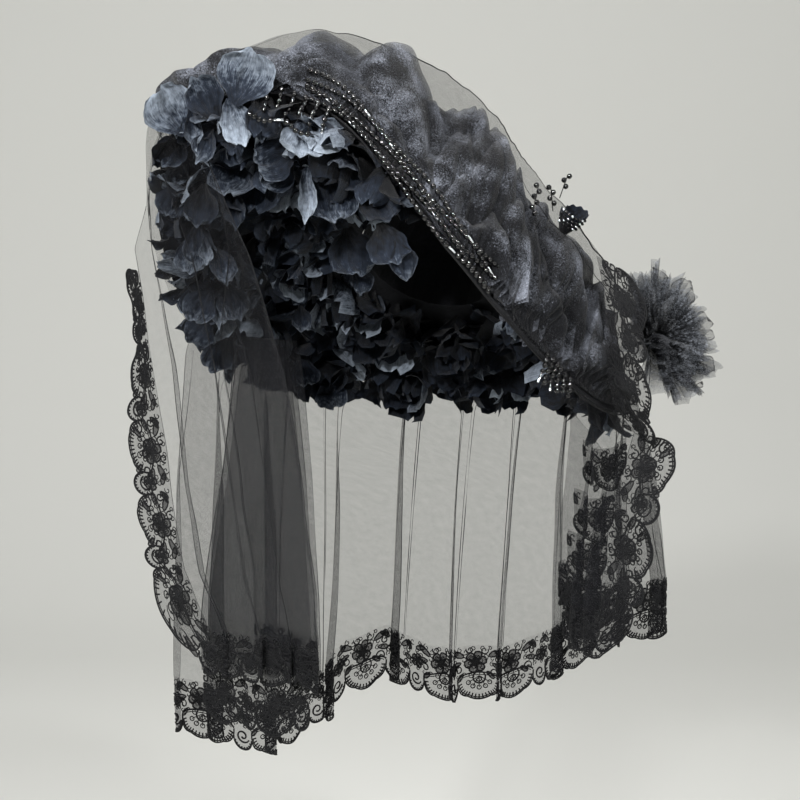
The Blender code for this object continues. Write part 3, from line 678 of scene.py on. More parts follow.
# Studio
WORLD_LIGHT = ("#cdceca", 0.32)
LIGHTS = table(
    "name x y z size watts",
    ("key", -2.0, -2.6, 2.4, 0.45, 184.0), ("fill", 2.6, -2.0, 1.2, 2.4, 34.0), ("top", 0.0, 0.6, 3.4, 2.6, 62.0),
    ("back", 1.2, 2.6, 1.8, 1.8, 24.0), ("spark", -0.9, -2.4, 1.1, 0.14, 76.0),
    ("second_spark", 0.9, -2.2, 1.5, 0.14, 54.0))


def make_studio():
    scene = bpy.context.scene
    scene.view_settings.view_transform = "Standard"
    scene.cycles.transparent_max_bounces = 28
    scene.world = bpy.data.worlds.new("studio")
    scene.world.use_nodes = True
    background = scene.world.node_tree.nodes["Background"].inputs
    background["Color"].default_value = linear(WORLD_LIGHT[0])
    background["Strength"].default_value = WORLD_LIGHT[1]
    depth = np.linspace(-BACKDROP_HALF, BACKDROP_BACK, 12).tolist()
    bend = [(BACKDROP_BACK + BACKDROP_BEND * math.sin(t), FLOOR_HEIGHT + BACKDROP_BEND * (1 - math.cos(t)))
            for t in np.linspace(0.15, math.pi / 2, 14)]
    profile = [(y, FLOOR_HEIGHT) for y in depth] + bend + [(bend[-1][0], BACKDROP_HALF)]
    points = np.array([[(x, y, z) for x in (-BACKDROP_HALF, BACKDROP_HALF)] for y, z in profile])
    piece_from("paper_sweep", points, grid_faces(len(profile), 2)[:, ::-1], MATERIALS["paper"])
    target = Vector(CAMERA_TARGET)
    for row in LIGHTS:
        light = put_in_scene(row.name, bpy.data.lights.new(row.name, "AREA"))
        light.data.size = row.size
        light.data.energy = row.watts
        light.location = (row.x, row.y, row.z)
        light.rotation_euler = (target - light.location).to_track_quat("-Z", "Y").to_euler()
    scene.camera = put_in_scene("camera", bpy.data.cameras.new("camera"))
    scene.camera.data.sensor_width = SENSOR
    scene.camera.data.lens = SENSOR / 2 * CAMERA_DISTANCE / FRAME_HALF_WIDTH
    tilt = math.radians(CAMERA_ELEVATION)
    back = Vector((0.0, -math.cos(tilt), math.sin(tilt)))
    scene.camera.location = target + back * CAMERA_DISTANCE
    scene.camera.rotation_euler = (-back).to_track_quat("-Z", "Y").to_euler()


# Petals
PETAL_KINDS = table(
    "width widest cup curl ruffle waves point",
    (0.86, 0.64, 0.24, 0.16, 0.060, 2.0, 0.00), (0.72, 0.58, 0.38, -0.20, 0.050, 1.6, 0.03),
    (0.96, 0.68, 0.18, 0.26, 0.085, 2.6, -0.04), (0.58, 0.58, 0.34, 0.10, 0.045, 1.4, 0.05),
    (0.84, 0.70, 0.46, 0.42, 0.065, 2.2, -0.03), (0.64, 0.62, 0.26, -0.34, 0.075, 2.0, 0.04))
PETAL_ROWS = 10
PETAL_COLUMNS = 7
SHOWN_ROWS = 26
SHOWN_COLUMNS = 21


def petal_shape(kind, seed, rows=PETAL_ROWS, columns=PETAL_COLUMNS, ribs=0.0):
    """A petal of unit length along Y, cupped towards +Z, with a ruffled round lip."""
    rng = np.random.default_rng(seed)
    v, u = np.meshgrid(np.linspace(0, 1, rows) ** 0.85, np.linspace(-1, 1, columns), indexing="ij")
    past = np.clip((v - kind.widest) / (1 - kind.widest), 0, 1)
    narrow = 0.18 + 0.82 * np.sin(np.pi / 2 * np.clip(v / kind.widest, 0, 1)) ** 1.1
    phase = rng.uniform(0, 6.28, 6)
    half = kind.width / 2 * narrow * np.sqrt(1 - 0.85 * past**2.8) * (1 + 0.07 * np.sin(8 * v + phase[4]))
    tip = v * (1 + kind.point * (1 - np.abs(u)) * v**6 - 0.10 * u**2 * v**2 + 0.045 * v**3 * np.sin(4.5 * u + phase[5]))
    lip = np.sin(kind.waves * u * 2.6 + phase[0]) + 0.5 * np.sin(kind.waves * 5.3 * u + phase[1])
    edge = kind.ruffle * 1.5 * np.abs(u) ** 2.5 * v * np.sin(6.5 * v + phase[2] + np.sign(u) * phase[3])
    rise = kind.cup * (0.55 * u**2 * np.sin(np.pi * v * 0.9) + 0.30 * v**2) + kind.curl * v**4
    rise = rise + kind.ruffle * v**2.5 * lip + edge - 0.05 * np.exp(-((u / 0.2) ** 2)) * np.sin(np.pi * v)
    rise = rise + ribs * np.sin(np.pi * v) ** 0.5 * np.sin(17 * u * (1 - 0.35 * v) + phase[4])
    points = np.stack([u * half, tip, rise], -1)
    uv = np.stack([(u + 1) / 2, v], -1)
    return points, grid_faces(rows, columns), uv


def within_veil(root, forward, length):
    """Length of a petal, shortened where its tip would press through the veil's side."""
    reach = -min(float(unit(forward)[0]), -1e-6)
    return min(length, max(0.030, (root[0] - PETALS_LEFT) / reach))


def petals_on(places, centre, axis, petal, rng, layers, pale):
    """Petals of one blossom, ring by ring, from the flat outer ones to the cupped heart."""
    side = unit(np.cross(axis, (0.31, 0.22, 0.93)))
    other = np.cross(axis, side)
    for count, rise, length, foot in layers:
        start = rng.uniform(0, 6.28)
        for index in range(count):
            turn = start + 2 * math.pi * (index + rng.uniform(-0.25, 0.25)) / count
            out = side * math.cos(turn) + other * math.sin(turn)
            lean = math.radians(rise + rng.uniform(-12, 12))
            forward = out * math.cos(lean) + axis * math.sin(lean) + DOWN * rng.uniform(0.0, 0.35)
            up = axis * math.cos(lean) - out * math.sin(lean)
            roll = other * math.cos(turn) - side * math.sin(turn)
            up = up + roll * rng.uniform(-0.35, 0.35)
            size = petal * length * rng.uniform(0.85, 1.15)
            size = within_veil(centre + out * foot, forward, size)
            # Random tone with painted light from pale
            shade = petal_shade(pale, rng)
            stretch = (size * rng.uniform(0.9, 1.15), size, size)
            places.add(centre + out * foot + axis * 0.002, forward, up, stretch, int(rng.integers(6)), shade)


def petal_shade(pale, rng):
    """Most petals are dark; now and then a much paler one shows. Random tone, plus painted light from pale, which lifts
    every petal and makes the paler ones show more often.
    """
    lucky = rng.uniform() < 0.02 + 0.42 * pale
    return float(np.clip(pale * 0.34 + rng.normal(0.0, 0.08) + lucky * rng.uniform(0.30, 0.60), 0, 1))


BLOSSOM_RINGS = table(
    "count first step along petal",
    (10, 19.0, 25.2, 0.76, 0.064), (7, 44.0, 31.0, 0.30, 0.058))
BLOSSOM_LAYERS = table(
    "count rise length foot",
    (7, 14, 1.0, 0.010), (6, 36, 0.90, 0.007), (4, 60, 0.74, 0.004))
# Painted light on the lining, by angle round the crown: the wearer's right, towards the light, is painted palest
PAINTED_LIGHT_BY_ANGLE = table(
    "angle shade",
    (-180.0, 0.50), (-150.0, 0.58), (-120.0, 0.46), (-95.0, 0.20), (0.0, 0.10), (60.0, 0.16), (110.0, 0.30),
    (150.0, 0.44))
# Petals that stand out in the photograph: middle, way to the tip, length, relative width, kind, paleness
SHOWN_PETALS = table(
    "x y z tip_x tip_y tip_z length width kind shade",
    (-0.202, -0.205, 0.211, 0.35, 0.00, 0.95, 0.061, 1.25, 0, 0.62),
    (-0.213, -0.200, 0.164, 0.25, -0.10, -0.95, 0.055, 0.80, 0, 0.76),
    (-0.289, -0.150, 0.175, -0.55, 0.00, 0.80, 0.058, 1.15, 2, 0.69),
    (-0.264, -0.165, 0.158, 0.10, -0.10, -1.00, 0.047, 0.75, 3, 0.53),
    (-0.250, -0.170, 0.139, -0.35, -0.20, -0.95, 0.042, 0.85, 1, 0.45),
    (-0.141, -0.215, 0.143, -0.20, -0.30, -0.95, 0.050, 1.25, 4, 0.77),
    (-0.119, -0.220, 0.157, 0.95, 0.00, 0.20, 0.048, 0.60, 5, 0.64),
    (-0.171, -0.185, 0.125, -0.90, 0.00, -0.35, 0.048, 1.15, 2, 0.40),
    (-0.168, -0.175, 0.110, -0.70, 0.00, -0.75, 0.044, 1.00, 2, 0.34),
    (-0.138, -0.195, 0.087, -0.05, -0.10, -1.00, 0.061, 0.62, 3, 0.71),
    (-0.113, -0.180, 0.084, 0.20, -0.10, -1.00, 0.062, 0.95, 2, 0.38),
    (-0.270, -0.070, 0.023, 0.05, -0.20, -1.00, 0.053, 1.00, 1, 0.43),
    (-0.283, -0.045, 0.011, -0.10, -0.10, -1.00, 0.044, 1.00, 0, 0.48),
    (-0.260, -0.085, 0.019, 0.10, -0.30, -1.00, 0.035, 0.80, 3, 0.58),
    (-0.242, -0.080, 0.002, 0.35, -0.20, -0.95, 0.044, 0.95, 1, 0.43),
    (-0.256, 0.010, -0.061, 0.10, -0.30, -1.00, 0.041, 0.80, 3, 0.62),
    (-0.239, 0.010, -0.049, 0.30, -0.10, -0.95, 0.048, 1.00, 0, 0.46),
    (-0.276, 0.000, -0.052, -0.50, -0.10, -0.85, 0.046, 1.00, 2, 0.43),
    (-0.157, 0.040, -0.074, 0.00, -0.30, -1.00, 0.037, 0.85, 4, 0.43),
    (-0.159, -0.010, -0.007, -0.60, -0.20, -0.80, 0.036, 0.70, 3, 0.34),
    (-0.160, 0.130, -0.149, 0.10, -0.20, -1.00, 0.043, 0.95, 2, 0.40),
    (-0.127, 0.170, -0.183, 0.20, -0.10, -1.00, 0.044, 1.00, 2, 0.46),
    (-0.091, -0.110, 0.018, 0.15, -0.20, -1.00, 0.059, 1.20, 0, 0.31),
    (-0.082, -0.105, -0.012, 0.15, -0.20, -1.00, 0.037, 0.95, 1, 0.36),
    (-0.051, -0.225, 0.033, 0.30, -0.10, -0.95, 0.047, 1.20, 0, 0.28),
    (-0.034, -0.226, 0.017, 0.25, -0.10, -0.95, 0.043, 0.95, 1, 0.36),
    (-0.225, -0.120, 0.072, 0.10, -0.20, -1.00, 0.054, 0.80, 3, 0.29),
    (-0.262, -0.105, 0.072, -0.15, -0.20, -1.00, 0.050, 1.05, 1, 0.26),
    (-0.299, -0.055, 0.076, -0.35, 0.00, -0.90, 0.043, 1.00, 2, 0.36),
    (-0.296, -0.085, 0.134, -0.55, 0.00, -0.80, 0.043, 1.05, 0, 0.34),
    (-0.218, 0.085, -0.091, 0.10, -0.20, -1.00, 0.057, 1.05, 1, 0.29),
    (-0.207, 0.150, -0.149, -0.15, -0.10, -1.00, 0.054, 1.00, 2, 0.34),
    (-0.265, 0.110, -0.119, -0.45, 0.00, -0.90, 0.053, 1.00, 0, 0.36),
    (-0.283, 0.060, -0.088, -0.55, 0.00, -0.80, 0.042, 1.00, 2, 0.40),
    (-0.248, -0.185, 0.188, -0.45, 0.00, 0.85, 0.051, 1.00, 0, 0.43),
    (-0.185, -0.205, 0.168, 0.10, -0.10, -1.00, 0.048, 1.05, 1, 0.31),
    (-0.090, -0.190, 0.112, 0.45, -0.10, -0.85, 0.048, 1.10, 0, 0.19),
    (-0.063, -0.200, 0.075, 0.45, -0.10, -0.85, 0.050, 1.10, 4, 0.21))
LINING_SHARES = (0.16, 0.36, 0.56, 0.76, 0.94)
LINING_STEP = 5.2
PETALS_LEFT = -0.322


# Painted light on the lining at an angle round the crown
def painted_light_at(angle):
    return float(around(PAINTED_LIGHT_BY_ANGLE, "shade", angle))


def make_petals():
    shapes = parts_collection("petal", [petal_shape(kind, 40 + k) for k, kind in enumerate(PETAL_KINDS)])
    rng = np.random.default_rng(7)
    number = 0
    for ring in BLOSSOM_RINGS:
        for index in range(ring.count):
            number += 1
            angle = ring.first + ring.step * index
            above = brim_normal(angle, ring.along)
            seat = brim_point(angle, ring.along) - above * (BRIM_WALL / 2 + 0.0006)
            places = Places()
            petals_on(places, seat, -above, ring.petal, rng, BLOSSOM_LAYERS, painted_light_at(angle))
            name = f"blossom_{number:02d}"
            dress(grow_parts(name + "_petals", places, shapes, "petal", 0.016, 0.022), "petal_organza", name)
    places = Places()
    for angle in np.arange(6.0, 266.0, LINING_STEP):
        for along in LINING_SHARES:
            spot = angle + rng.uniform(-2.5, 2.5)
            share = along + rng.uniform(-0.05, 0.05)
            above = brim_normal(spot, share)
            seat = brim_point(spot, share) - above * (BRIM_WALL / 2 + 0.001)
            out = unit(brim_point(spot, share + 0.02) - brim_point(spot, share - 0.02))
            beside = np.cross(above, out)
            swing = rng.uniform(-1.2, 1.2)
            flat = out * math.cos(swing) + beside * math.sin(swing)
            lean = math.radians(rng.uniform(12, 42))
            forward = flat * math.cos(lean) - above * math.sin(lean) + DOWN * 0.2
            up = -above * math.cos(lean) - flat * math.sin(lean) + beside * rng.uniform(-0.4, 0.4)
            size = rng.uniform(0.044, 0.062) * (0.8 if along > 0.9 else 1.0)
            size = within_veil(seat, forward, size)
            places.add(seat, forward, up, size, int(rng.integers(6)), petal_shade(painted_light_at(spot), rng))
    dress(grow_parts("petal_lining", places, shapes, "petal", 0.016, 0.022), "petal_organza")
    places = Places()
    for petal in SHOWN_PETALS:
        forward = unit((petal.tip_x, petal.tip_y, petal.tip_z))
        root = np.array((petal.x, petal.y, petal.z)) - forward * petal.length / 2
        size = (petal.length * petal.width, petal.length, petal.length)
        places.add(root, forward, (0.15, -1.0, 0.25), size, petal.kind, petal.shade)
    large = [petal_shape(kind, 60 + k, SHOWN_ROWS, SHOWN_COLUMNS, 0.012) for k, kind in enumerate(PETAL_KINDS)]
    shapes = parts_collection("shown_petal", large)
    dress(grow_parts("petals_shown_front", places, shapes, "petal", 0.010, 0.019), "petal_organza")


# Crinoline fans
FAN_ROWS = table(
    "count first step base_along back_along inset height half",
    (5, -138.0, 33.5, 0.975, 0.62, 0.010, 1.00, 19.0), (4, -120.0, 33.0, 0.72, 0.42, 0.028, 1.07, 18.0))
# Crushed lobes of one fan: swing along the brim, height, width, how far back, foot gathers
FAN_LOBES = table(
    "swing height width inset gathers",
    (0.0, 1.00, 0.80, 0.002, 7), (-9.5, 0.80, 0.56, -0.004, 5), (9.5, 0.72, 0.60, -0.006, 5),
    (-2.5, 0.50, 0.76, -0.009, 7), (4.0, 0.94, 1.00, 0.016, 9))
FAN_ROWS_UP = 30
FAN_COLUMNS = 56
FRONT_PART = 0.62


def fan_lobe(row, centre, lobe, seed):
    """One crushed lobe: from its gathered foot up the front, over the top and down behind."""
    along, across = np.meshgrid(np.linspace(0, 1, FAN_ROWS_UP), np.linspace(-1, 1, FAN_COLUMNS), indexing="ij")
    round_off = np.clip(1 - np.abs(across) ** 2.2, 0.0, 1) ** 0.55 * 0.93 + 0.07
    up = np.clip(along / FRONT_PART, 0, 1)
    over = np.clip((along - FRONT_PART) / (1 - FRONT_PART), 0, 1)
    spread = 0.55 + 0.45 * np.sin(np.pi / 2 * up) ** 0.8
    angle = centre + lobe.swing * (0.6 + 0.4 * up) + across * row.half * lobe.width * spread
    foot_share = np.full_like(angle, row.base_along)
    back_share = np.full_like(angle, row.back_along)
    foot = brim_point(angle, foot_share) + brim_normal(angle, foot_share) * 0.003
    back = brim_point(angle, back_share) + brim_normal(angle, back_share) * 0.003
    ragged = 1 + 0.05 * wander(across * 5.0, 0.0, seed + 3, 2)
    tall = row.height * lobe.height * round_off * ragged
    top = hat_point(angle, mix(foot_reach(foot), around(CREST, "reach", angle) - row.inset - lobe.inset, tall),
                    mix(foot @ CROWN_UP, around(CREST, "rise", angle) - 0.010, tall))
    front = mix(foot, top, up[..., None] ** 0.92)
    behind = mix(top, back, over[..., None] ** 1.3)
    points = np.where((along <= FRONT_PART)[..., None], front, behind)
    belly = 0.018 * np.sin(np.pi * up) ** 0.7 * round_off * smooth(0.10, 0.45, up) * (along <= FRONT_PART)
    dome = 0.012 * np.sin(np.pi * over) * round_off
    lumps = 0.020 * wander(across * 1.7 * lobe.width, along * 2.6, seed, 2)
    lumps = lumps * np.sin(np.pi * np.clip(along, 0.03, 1)) ** 0.5 * smooth(0.05, 0.40, up)
    crush = 0.0022 * wander(across * 5.0, along * 5.0, seed + 1, 2) * smooth(0.05, 0.40, up)
    gather = 0.0030 * (1 - up) ** 1.4 * np.sin(np.pi * lobe.gathers * across + 2 * wander(across * 3, up, seed + 2, 2))
    points = points + outward(angle) * (belly + lumps + crush + gather)[..., None]
    points = points + CROWN_UP * (dome + 0.5 * lumps)[..., None]
    thin = np.clip(1.0 - np.abs(along - FRONT_PART) / 0.16, 0, 1) * 0.8 + np.abs(across) ** 6 * 0.5
    # Painted shade at the foot of each lobe, deeper on the right, away from the key light
    deep = mix(1.0, 1.9, smooth(-95.0, -30.0, angle))
    return points, np.clip(thin, 0, 1) - deep * (1 - up) ** 1.2


def foot_reach(points):
    """Reach of points away from the crown's axis."""
    return np.linalg.norm(points - (points @ CROWN_UP)[..., None] * CROWN_UP, axis=-1)


def join_grids(name, grids, material, thin=None):
    """Several sheets as one piece, each with its UV map in metres; the points' values say where the net is barest, and
    below zero how much painted shade its colour gets.
    """
    points, faces, uv, start = [], [], [], 0
    for grid in grids:
        points.append(grid.reshape(-1, 3))
        uv.append(cloth_uv(grid) + start * 0.00013)
        faces.append(grid_faces(grid.shape[0], grid.shape[1], start=start))
        start += grid.shape[0] * grid.shape[1]
    piece = piece_from(name, np.concatenate(points), np.concatenate(faces), MATERIALS[material], np.concatenate(uv))
    if thin is not None:
        values = np.concatenate([share.ravel() for share in thin]).astype(np.float32)
        piece.data.attributes.new("thin", "FLOAT", "POINT").data.foreach_set("value", values)
    return piece


def make_fans():
    number = 0
    for row in FAN_ROWS:
        for index in range(row.count):
            number += 1
            centre = row.first + row.step * index
            lobes = [fan_lobe(row, centre, lobe, 100 * number + 10 * k) for k, lobe in enumerate(FAN_LOBES)]
            grids = [points for points, _ in lobes]
            node = f"tulle_fan_{number}"
            fan = join_grids(node + "_net", grids, "crinoline", [thin for _, thin in lobes])
            dress(fan, "crinoline", node)


# Veil
VEIL_COLUMNS = 600
DOME_ROWS = 44
EDGE_ROWS = 14
CURTAIN_ROWS = 60
CREASE = 0.00042
# Folds of the curtain: width along the brim, how far the cloth laps over, where they start
CURTAIN_PLEATS = table(
    "width lap depth shift",
    (15.0, 1.25, 0.012, 0.8), (6.3, 1.10, 0.005, 2.1))
# Lapped cloth of a fall: share of the cloth, share of the way across, how far in front
LEFT_LAPS = table(
    "cloth across front",
    (0.00, 0.00, 0.000), (0.13, 0.20, 0.004), (0.19, 0.09, -0.003), (0.30, 0.22, 0.001), (0.44, 0.42, 0.002),
    (0.50, 0.55, 0.006), (0.56, 0.45, -0.003), (0.70, 0.68, 0.002), (0.77, 0.79, 0.006), (0.82, 0.71, -0.003),
    (1.00, 1.00, 0.000))
RIGHT_LAPS = table(
    "cloth across front",
    (0.00, 0.00, 0.000), (0.22, 0.34, 0.005), (0.33, 0.18, -0.003), (0.52, 0.50, 0.002), (0.66, 0.74, 0.006),
    (0.75, 0.60, -0.003), (1.00, 1.00, 0.000))
# Gathered widths of net behind the left fall's dark part: their two sides across it, and how far behind
GATHER_FROM = 1.9
GATHER_DROP = 0.055
LEFT_GATHERS = table(
    "left right behind lean",
    (0.88, 0.99, 0.012, -0.77), (0.80, 0.92, 0.022, -0.62), (0.96, 1.00, 0.032, -0.74))


def veil_ripple(angle, down):
    """Fine creases of the net, out from the crown or down the curtain, in metres."""
    turn = np.radians(angle)
    ripple = wander(np.cos(turn) * 9.0 + down * 2.0, np.sin(turn) * 9.0 - down * 1.3, 21, 3)
    crease = wander(np.cos(turn) * 26.0, np.sin(turn) * 26.0 + down * 1.5, 22, 2)
    return 0.0016 * ripple + 0.0009 * crease


def dome_grid(angle):
    share = np.linspace(0.02, 1.0, DOME_ROWS)[:, None]
    dome = crest_point(np.broadcast_to(angle, (DOME_ROWS, len(angle))), np.broadcast_to(share, (DOME_ROWS, len(angle))))
    crest = crest_point(angle, np.ones_like(angle))
    edge = veil_edge(angle)
    step = np.linspace(0, 1, EDGE_ROWS + 1)[1:, None, None]
    bulge = outward(angle) * SHOULDER_BULGE
    side = mix(crest, edge, step) + bulge * (4 * step * (1 - step))
    points = np.concatenate([dome, side])
    fade = np.concatenate([np.linspace(0, 1, DOME_ROWS) ** 1.5, np.linspace(1, 0.2, EDGE_ROWS)])[:, None]
    down = np.concatenate([np.linspace(0, 1, DOME_ROWS), np.linspace(1, 1.5, EDGE_ROWS)])[:, None]
    ripple = veil_ripple(np.broadcast_to(angle, points.shape[:2]), down) * fade
    lift = unit(points - hat_point(angle, np.zeros_like(angle), np.full_like(angle, -0.15)))
    return points + lift * (ripple[..., None] - 0.001)


def curtain_grid(angle, share):
    """Back curtain: its pleats lap over themselves from just under the brim to the hem."""
    set_in = smooth(-0.04, 0.10, share)
    leaning = angle
    fold = 0.004 * share * wander(angle * 0.25, share * 2, 31, 3)
    for number, pleat in enumerate(CURTAIN_PLEATS):
        uneven = 0.8 * np.sin(np.radians(angle * 5.0) + number)
        phase = 2 * math.pi * angle / pleat.width + pleat.shift + uneven
        phase = phase + 0.25 * wander(angle * 0.1, share * 1.5, 33, 2)
        leaning = leaning + set_in * pleat.lap * pleat.width / (2 * math.pi) * np.sin(phase)
        fold = fold + pleat.depth * smooth(0.0, 0.5, share) * np.cos(phase)
    start = veil_edge(mix(angle, leaning, 0.6 * set_in))
    end = table_at(VEIL_HEM, "xyz", np.clip(leaning, CURTAIN_FROM, CURTAIN_TO), "angle") + UP * HEM_LACE
    point = mix(start, end, share[..., None])
    swing = share[..., None] ** CURTAIN_SWING
    point[..., :2] = mix(start, end, swing)[..., :2]
    away = point * (1.0, 1.0, 0.0)
    return point + unit(away) * fold[..., None]


def make_veil():
    angle = np.linspace(-180.0, 180.0, VEIL_COLUMNS, endpoint=False)
    dome = dome_grid(angle)
    apex = crest_point(np.zeros(1), np.zeros(1))
    hang = np.arange(CURTAIN_FROM, CURTAIN_TO + 0.01, 0.3)
    share = np.linspace(0, 1, CURTAIN_ROWS)[:, None] * np.ones_like(hang)
    curtain = curtain_grid(np.broadcast_to(hang, share.shape), share)
    points = np.concatenate([dome.reshape(-1, 3), apex, curtain.reshape(-1, 3)])
    top, first = len(dome) * VEIL_COLUMNS, np.arange(VEIL_COLUMNS)
    cap = np.stack([np.full(VEIL_COLUMNS, top), first, (first + 1) % VEIL_COLUMNS], -1)
    over = grid_faces(*dome.shape[:2], closed=True).tolist() + cap.tolist()
    hung = grid_faces(*curtain.shape[:2], start=top + 1).tolist()
    uv = np.concatenate([cloth_uv(dome), [[0.0, 0.0]], cloth_uv(curtain) + (0.0, 0.3)])
    piece = piece_from("veil_net", points, over + hung, MATERIALS["tulle"], uv)
    piece.data.materials.append(MATERIALS["doubled"])
    piece.data.polygons.foreach_set("material_index", [0] * len(over) + [1] * len(hung))
    dress(piece, "tulle", "veil")
    return dome, curtain


def fall_line(rows, value):
    """Free edge and fold of a fall; at 1 they are the table's first row."""
    x, y, z, fold_x, fold_y = table_at(rows, ("free_x", "free_y", "z", "fold_x", "fold_y"), value - 1)
    return np.array((x, y, z)), np.array((fold_x, fold_y, z))


def fall_grid(table_rows, angles, returns, laps, rows=80, columns=150, back=50):
    """A turned-back fall: lapped front from its free edge to its fold, then the part behind."""
    cloth = np.linspace(0, 1, columns)
    soft = np.ones(7) / 7
    across, front = table_at(laps, ("across", "front"), cloth, "cloth").T
    across = np.convolve(np.pad(across, 3, "reflect", reflect_type="odd"), soft, "valid")
    front = np.convolve(np.pad(front, 3, "edge"), soft, "valid")
    grid = np.zeros((rows, columns + back, 3))
    for index, value in enumerate(np.linspace(0, len(table_rows), rows)):
        free, fold = fall_line(table_rows, value)
        sideways = unit(np.cross(fold - free, UP))
        strength = min(1.0, value / 1.5)
        lean = across + strength * 0.012 * wander(value * 0.8, cloth * 4.0, 62, 2)
        top = veil_edge(mix(angles[0], angles[1], mix(cloth, across, 0.7)))
        top = top + outward(mix(angles[0], angles[1], cloth)) * FALL_OFFSET
        wave = strength * (1.6 * front + 0.003 * wander(cloth * 9, value * 1.2, 61, 3))
        facing = sideways * np.sign(-sideways[1])
        line = mix(free, fold, mix(cloth, lean, strength)[:, None]) + facing * wave[:, None]
        grid[index, :columns] = line if value >= 1 else mix(top, line, value)
        turned = np.linspace(0, len(returns) - 1, back + 1)[1:]
        steps = np.pad(table_at(returns, "xy", turned), ((0, 0), (0, 1)))
        ripple = 0.004 * np.sin(turned * 5.0)[:, None] * sideways
        grid[index, columns:] = grid[index, columns - 1] + (steps + ripple) * float(smooth(0.3, 2.2, value))
    return grid


def gathered_grid(table_rows, gather, seed, rows=60, columns=70):
    """One width of net gathered behind a fall, with soft folds down its length."""
    s = np.linspace(0, 1, columns)
    grid = np.zeros((rows, columns, 3))
    for index, value in enumerate(np.linspace(GATHER_FROM, len(table_rows), rows)):
        free, fold = fall_line(table_rows, value)
        down = (value - GATHER_FROM) / (len(table_rows) - GATHER_FROM)
        behind = mix(0.210, gather.behind, smooth(0.0, 0.80, down)) + 0.004 * wander(s * 8, value, seed, 3)
        laps = 0.035 * np.sin(5.3 * math.pi * s + seed + 0.4 * value) * float(smooth(0.0, 2.0, value))
        share = mix(gather.left + gather.lean * value / 4, gather.right, s) + laps
        line = mix(free, fold, share[:, None]) + behind[:, None] * (0.0, 1.0, 0.0)
        grid[index] = line + DOWN * GATHER_DROP * down**2
    return grid


def folds_of(grid, first_row=3):
    """Columns of a hung grid where the cloth turns back on itself, with its two sides."""
    across = np.linalg.norm(grid[-1, :, :2] - grid[-1, :1, :2], axis=-1)
    steps = np.sign(np.diff(across))
    turns = [0] + [k + 1 for k in range(len(steps) - 1) if steps[k] * steps[k + 1] < 0] + [grid.shape[1] - 1]
    return [grid[first_row:, column] for column in turns]


def crease(threads, line, seed, radius=CREASE):
    """A pressed crease or rolled edge of the net, which comes and goes along its length."""
    fade = np.clip(0.75 + 0.55 * wander(np.linspace(0, 6, len(line)), 0.0, seed, 2), 0.25, 1.2)
    threads.add(line, (radius * fade).tolist())


def make_falls():
    def hang(name, grids, material, node, held):
        piece = dress(join_grids(name, grids, material), "tulle", node)

    left = fall_grid(LEFT_FALL, (-172.5, -142.5), LEFT_RETURN, LEFT_LAPS)
    hang("veil_left_fall_net", [left], "tulle", "veil_left_fall", "folded")
    gathers = [gathered_grid(LEFT_FALL, gather, 70 + k) for k, gather in enumerate(LEFT_GATHERS)]
    hang("veil_left_gathers", gathers, "gathered", "veil_left_fall", "gathered")
    right = fall_grid(RIGHT_FALL, (7.5, -22.5), RIGHT_RETURN, RIGHT_LAPS)
    hang("veil_right_fall_net", [right], "tulle", "veil_right_fall", "folded")
    return left, right, gathers


def make_creases(dome, curtain, left, right, gathers):
    """Dark lines where the net is pressed, rolled or lapped."""
    threads = Threads()
    for number, line in enumerate(folds_of(curtain) + folds_of(left, 1) + folds_of(right, 1)):
        crease(threads, line, 500 + number)
    for number, grid in enumerate(gathers):
        crease(threads, grid[2:, 0], 540 + number)
        crease(threads, grid[2:, -1], 550 + number)
    angles = np.linspace(-180.0, 180.0, VEIL_COLUMNS, endpoint=False)
    shown = np.flatnonzero((angles > -176) & (angles < 16))
    crease(threads, dome[DOME_ROWS - 1, shown], 560, CREASE * 2.0)
    crease(threads, dome[DOME_ROWS + 2, shown[150:]], 561)
    edge = np.flatnonzero((angles > -176) & (angles < -140))
    crease(threads, dome[-1, edge], 562)
    dress(grow_threads("veil_creases", threads, 4, "crease"), "tulle")


# Lace
LACE_REPEAT = 0.088
LACE_CORD = 0.00125
LACE_STEM = 0.00085
LACE_FINE = 0.00066
BIG_CENTRE = 0.031
BIG_HALF = 0.031
BIG_DEEP = 0.027
SMALL_CENTRE = 0.0755
SMALL_HALF = 0.0130
SMALL_DEEP = 0.015
LACE_FLOWERS = table(
    "x y length width petals first",
    (0.036, 0.024, 0.0155, 0.0110, 6, 12), (0.073, 0.030, 0.0100, 0.0076, 5, 40))
LACE_LEAVES = table(
    "x y turn length width",
    (0.052, 0.016, -28, 0.020, 0.0080), (0.056, 0.024, 8, 0.013, 0.0060), (0.018, 0.016, 205, 0.018, 0.0078),
    (0.012, 0.027, 165, 0.015, 0.0066), (0.061, 0.008, 20, 0.015, 0.0062), (0.008, 0.008, 150, 0.012, 0.0056),
    (0.020, 0.038, 140, 0.014, 0.0062), (0.053, 0.040, 48, 0.013, 0.0060), (0.084, 0.018, -60, 0.014, 0.0060))
LACE_SCROLLS = table(
    "x y start end first last points",
    (0.060, 0.034, 0.0070, 0.0018, 20, -400, 18), (0.010, 0.040, 0.0075, 0.0018, 150, 560, 18),
    (0.024, 0.008, 0.0060, 0.0016, 200, -200, 16), (0.044, 0.006, 0.0055, 0.0016, -20, 380, 16),
    (0.083, 0.034, 0.0050, 0.0014, 60, -300, 14), (0.002, 0.020, 0.0052, 0.0016, -60, 300, 14))
CURL_ROWS = 4
CURL_COLUMNS = 8


def ring_line(x, y, radius, sides=12):
    turn = np.linspace(0, 2 * math.pi, sides, endpoint=False)
    return np.stack([x + radius * np.cos(turn), y + radius * np.sin(turn)], -1)


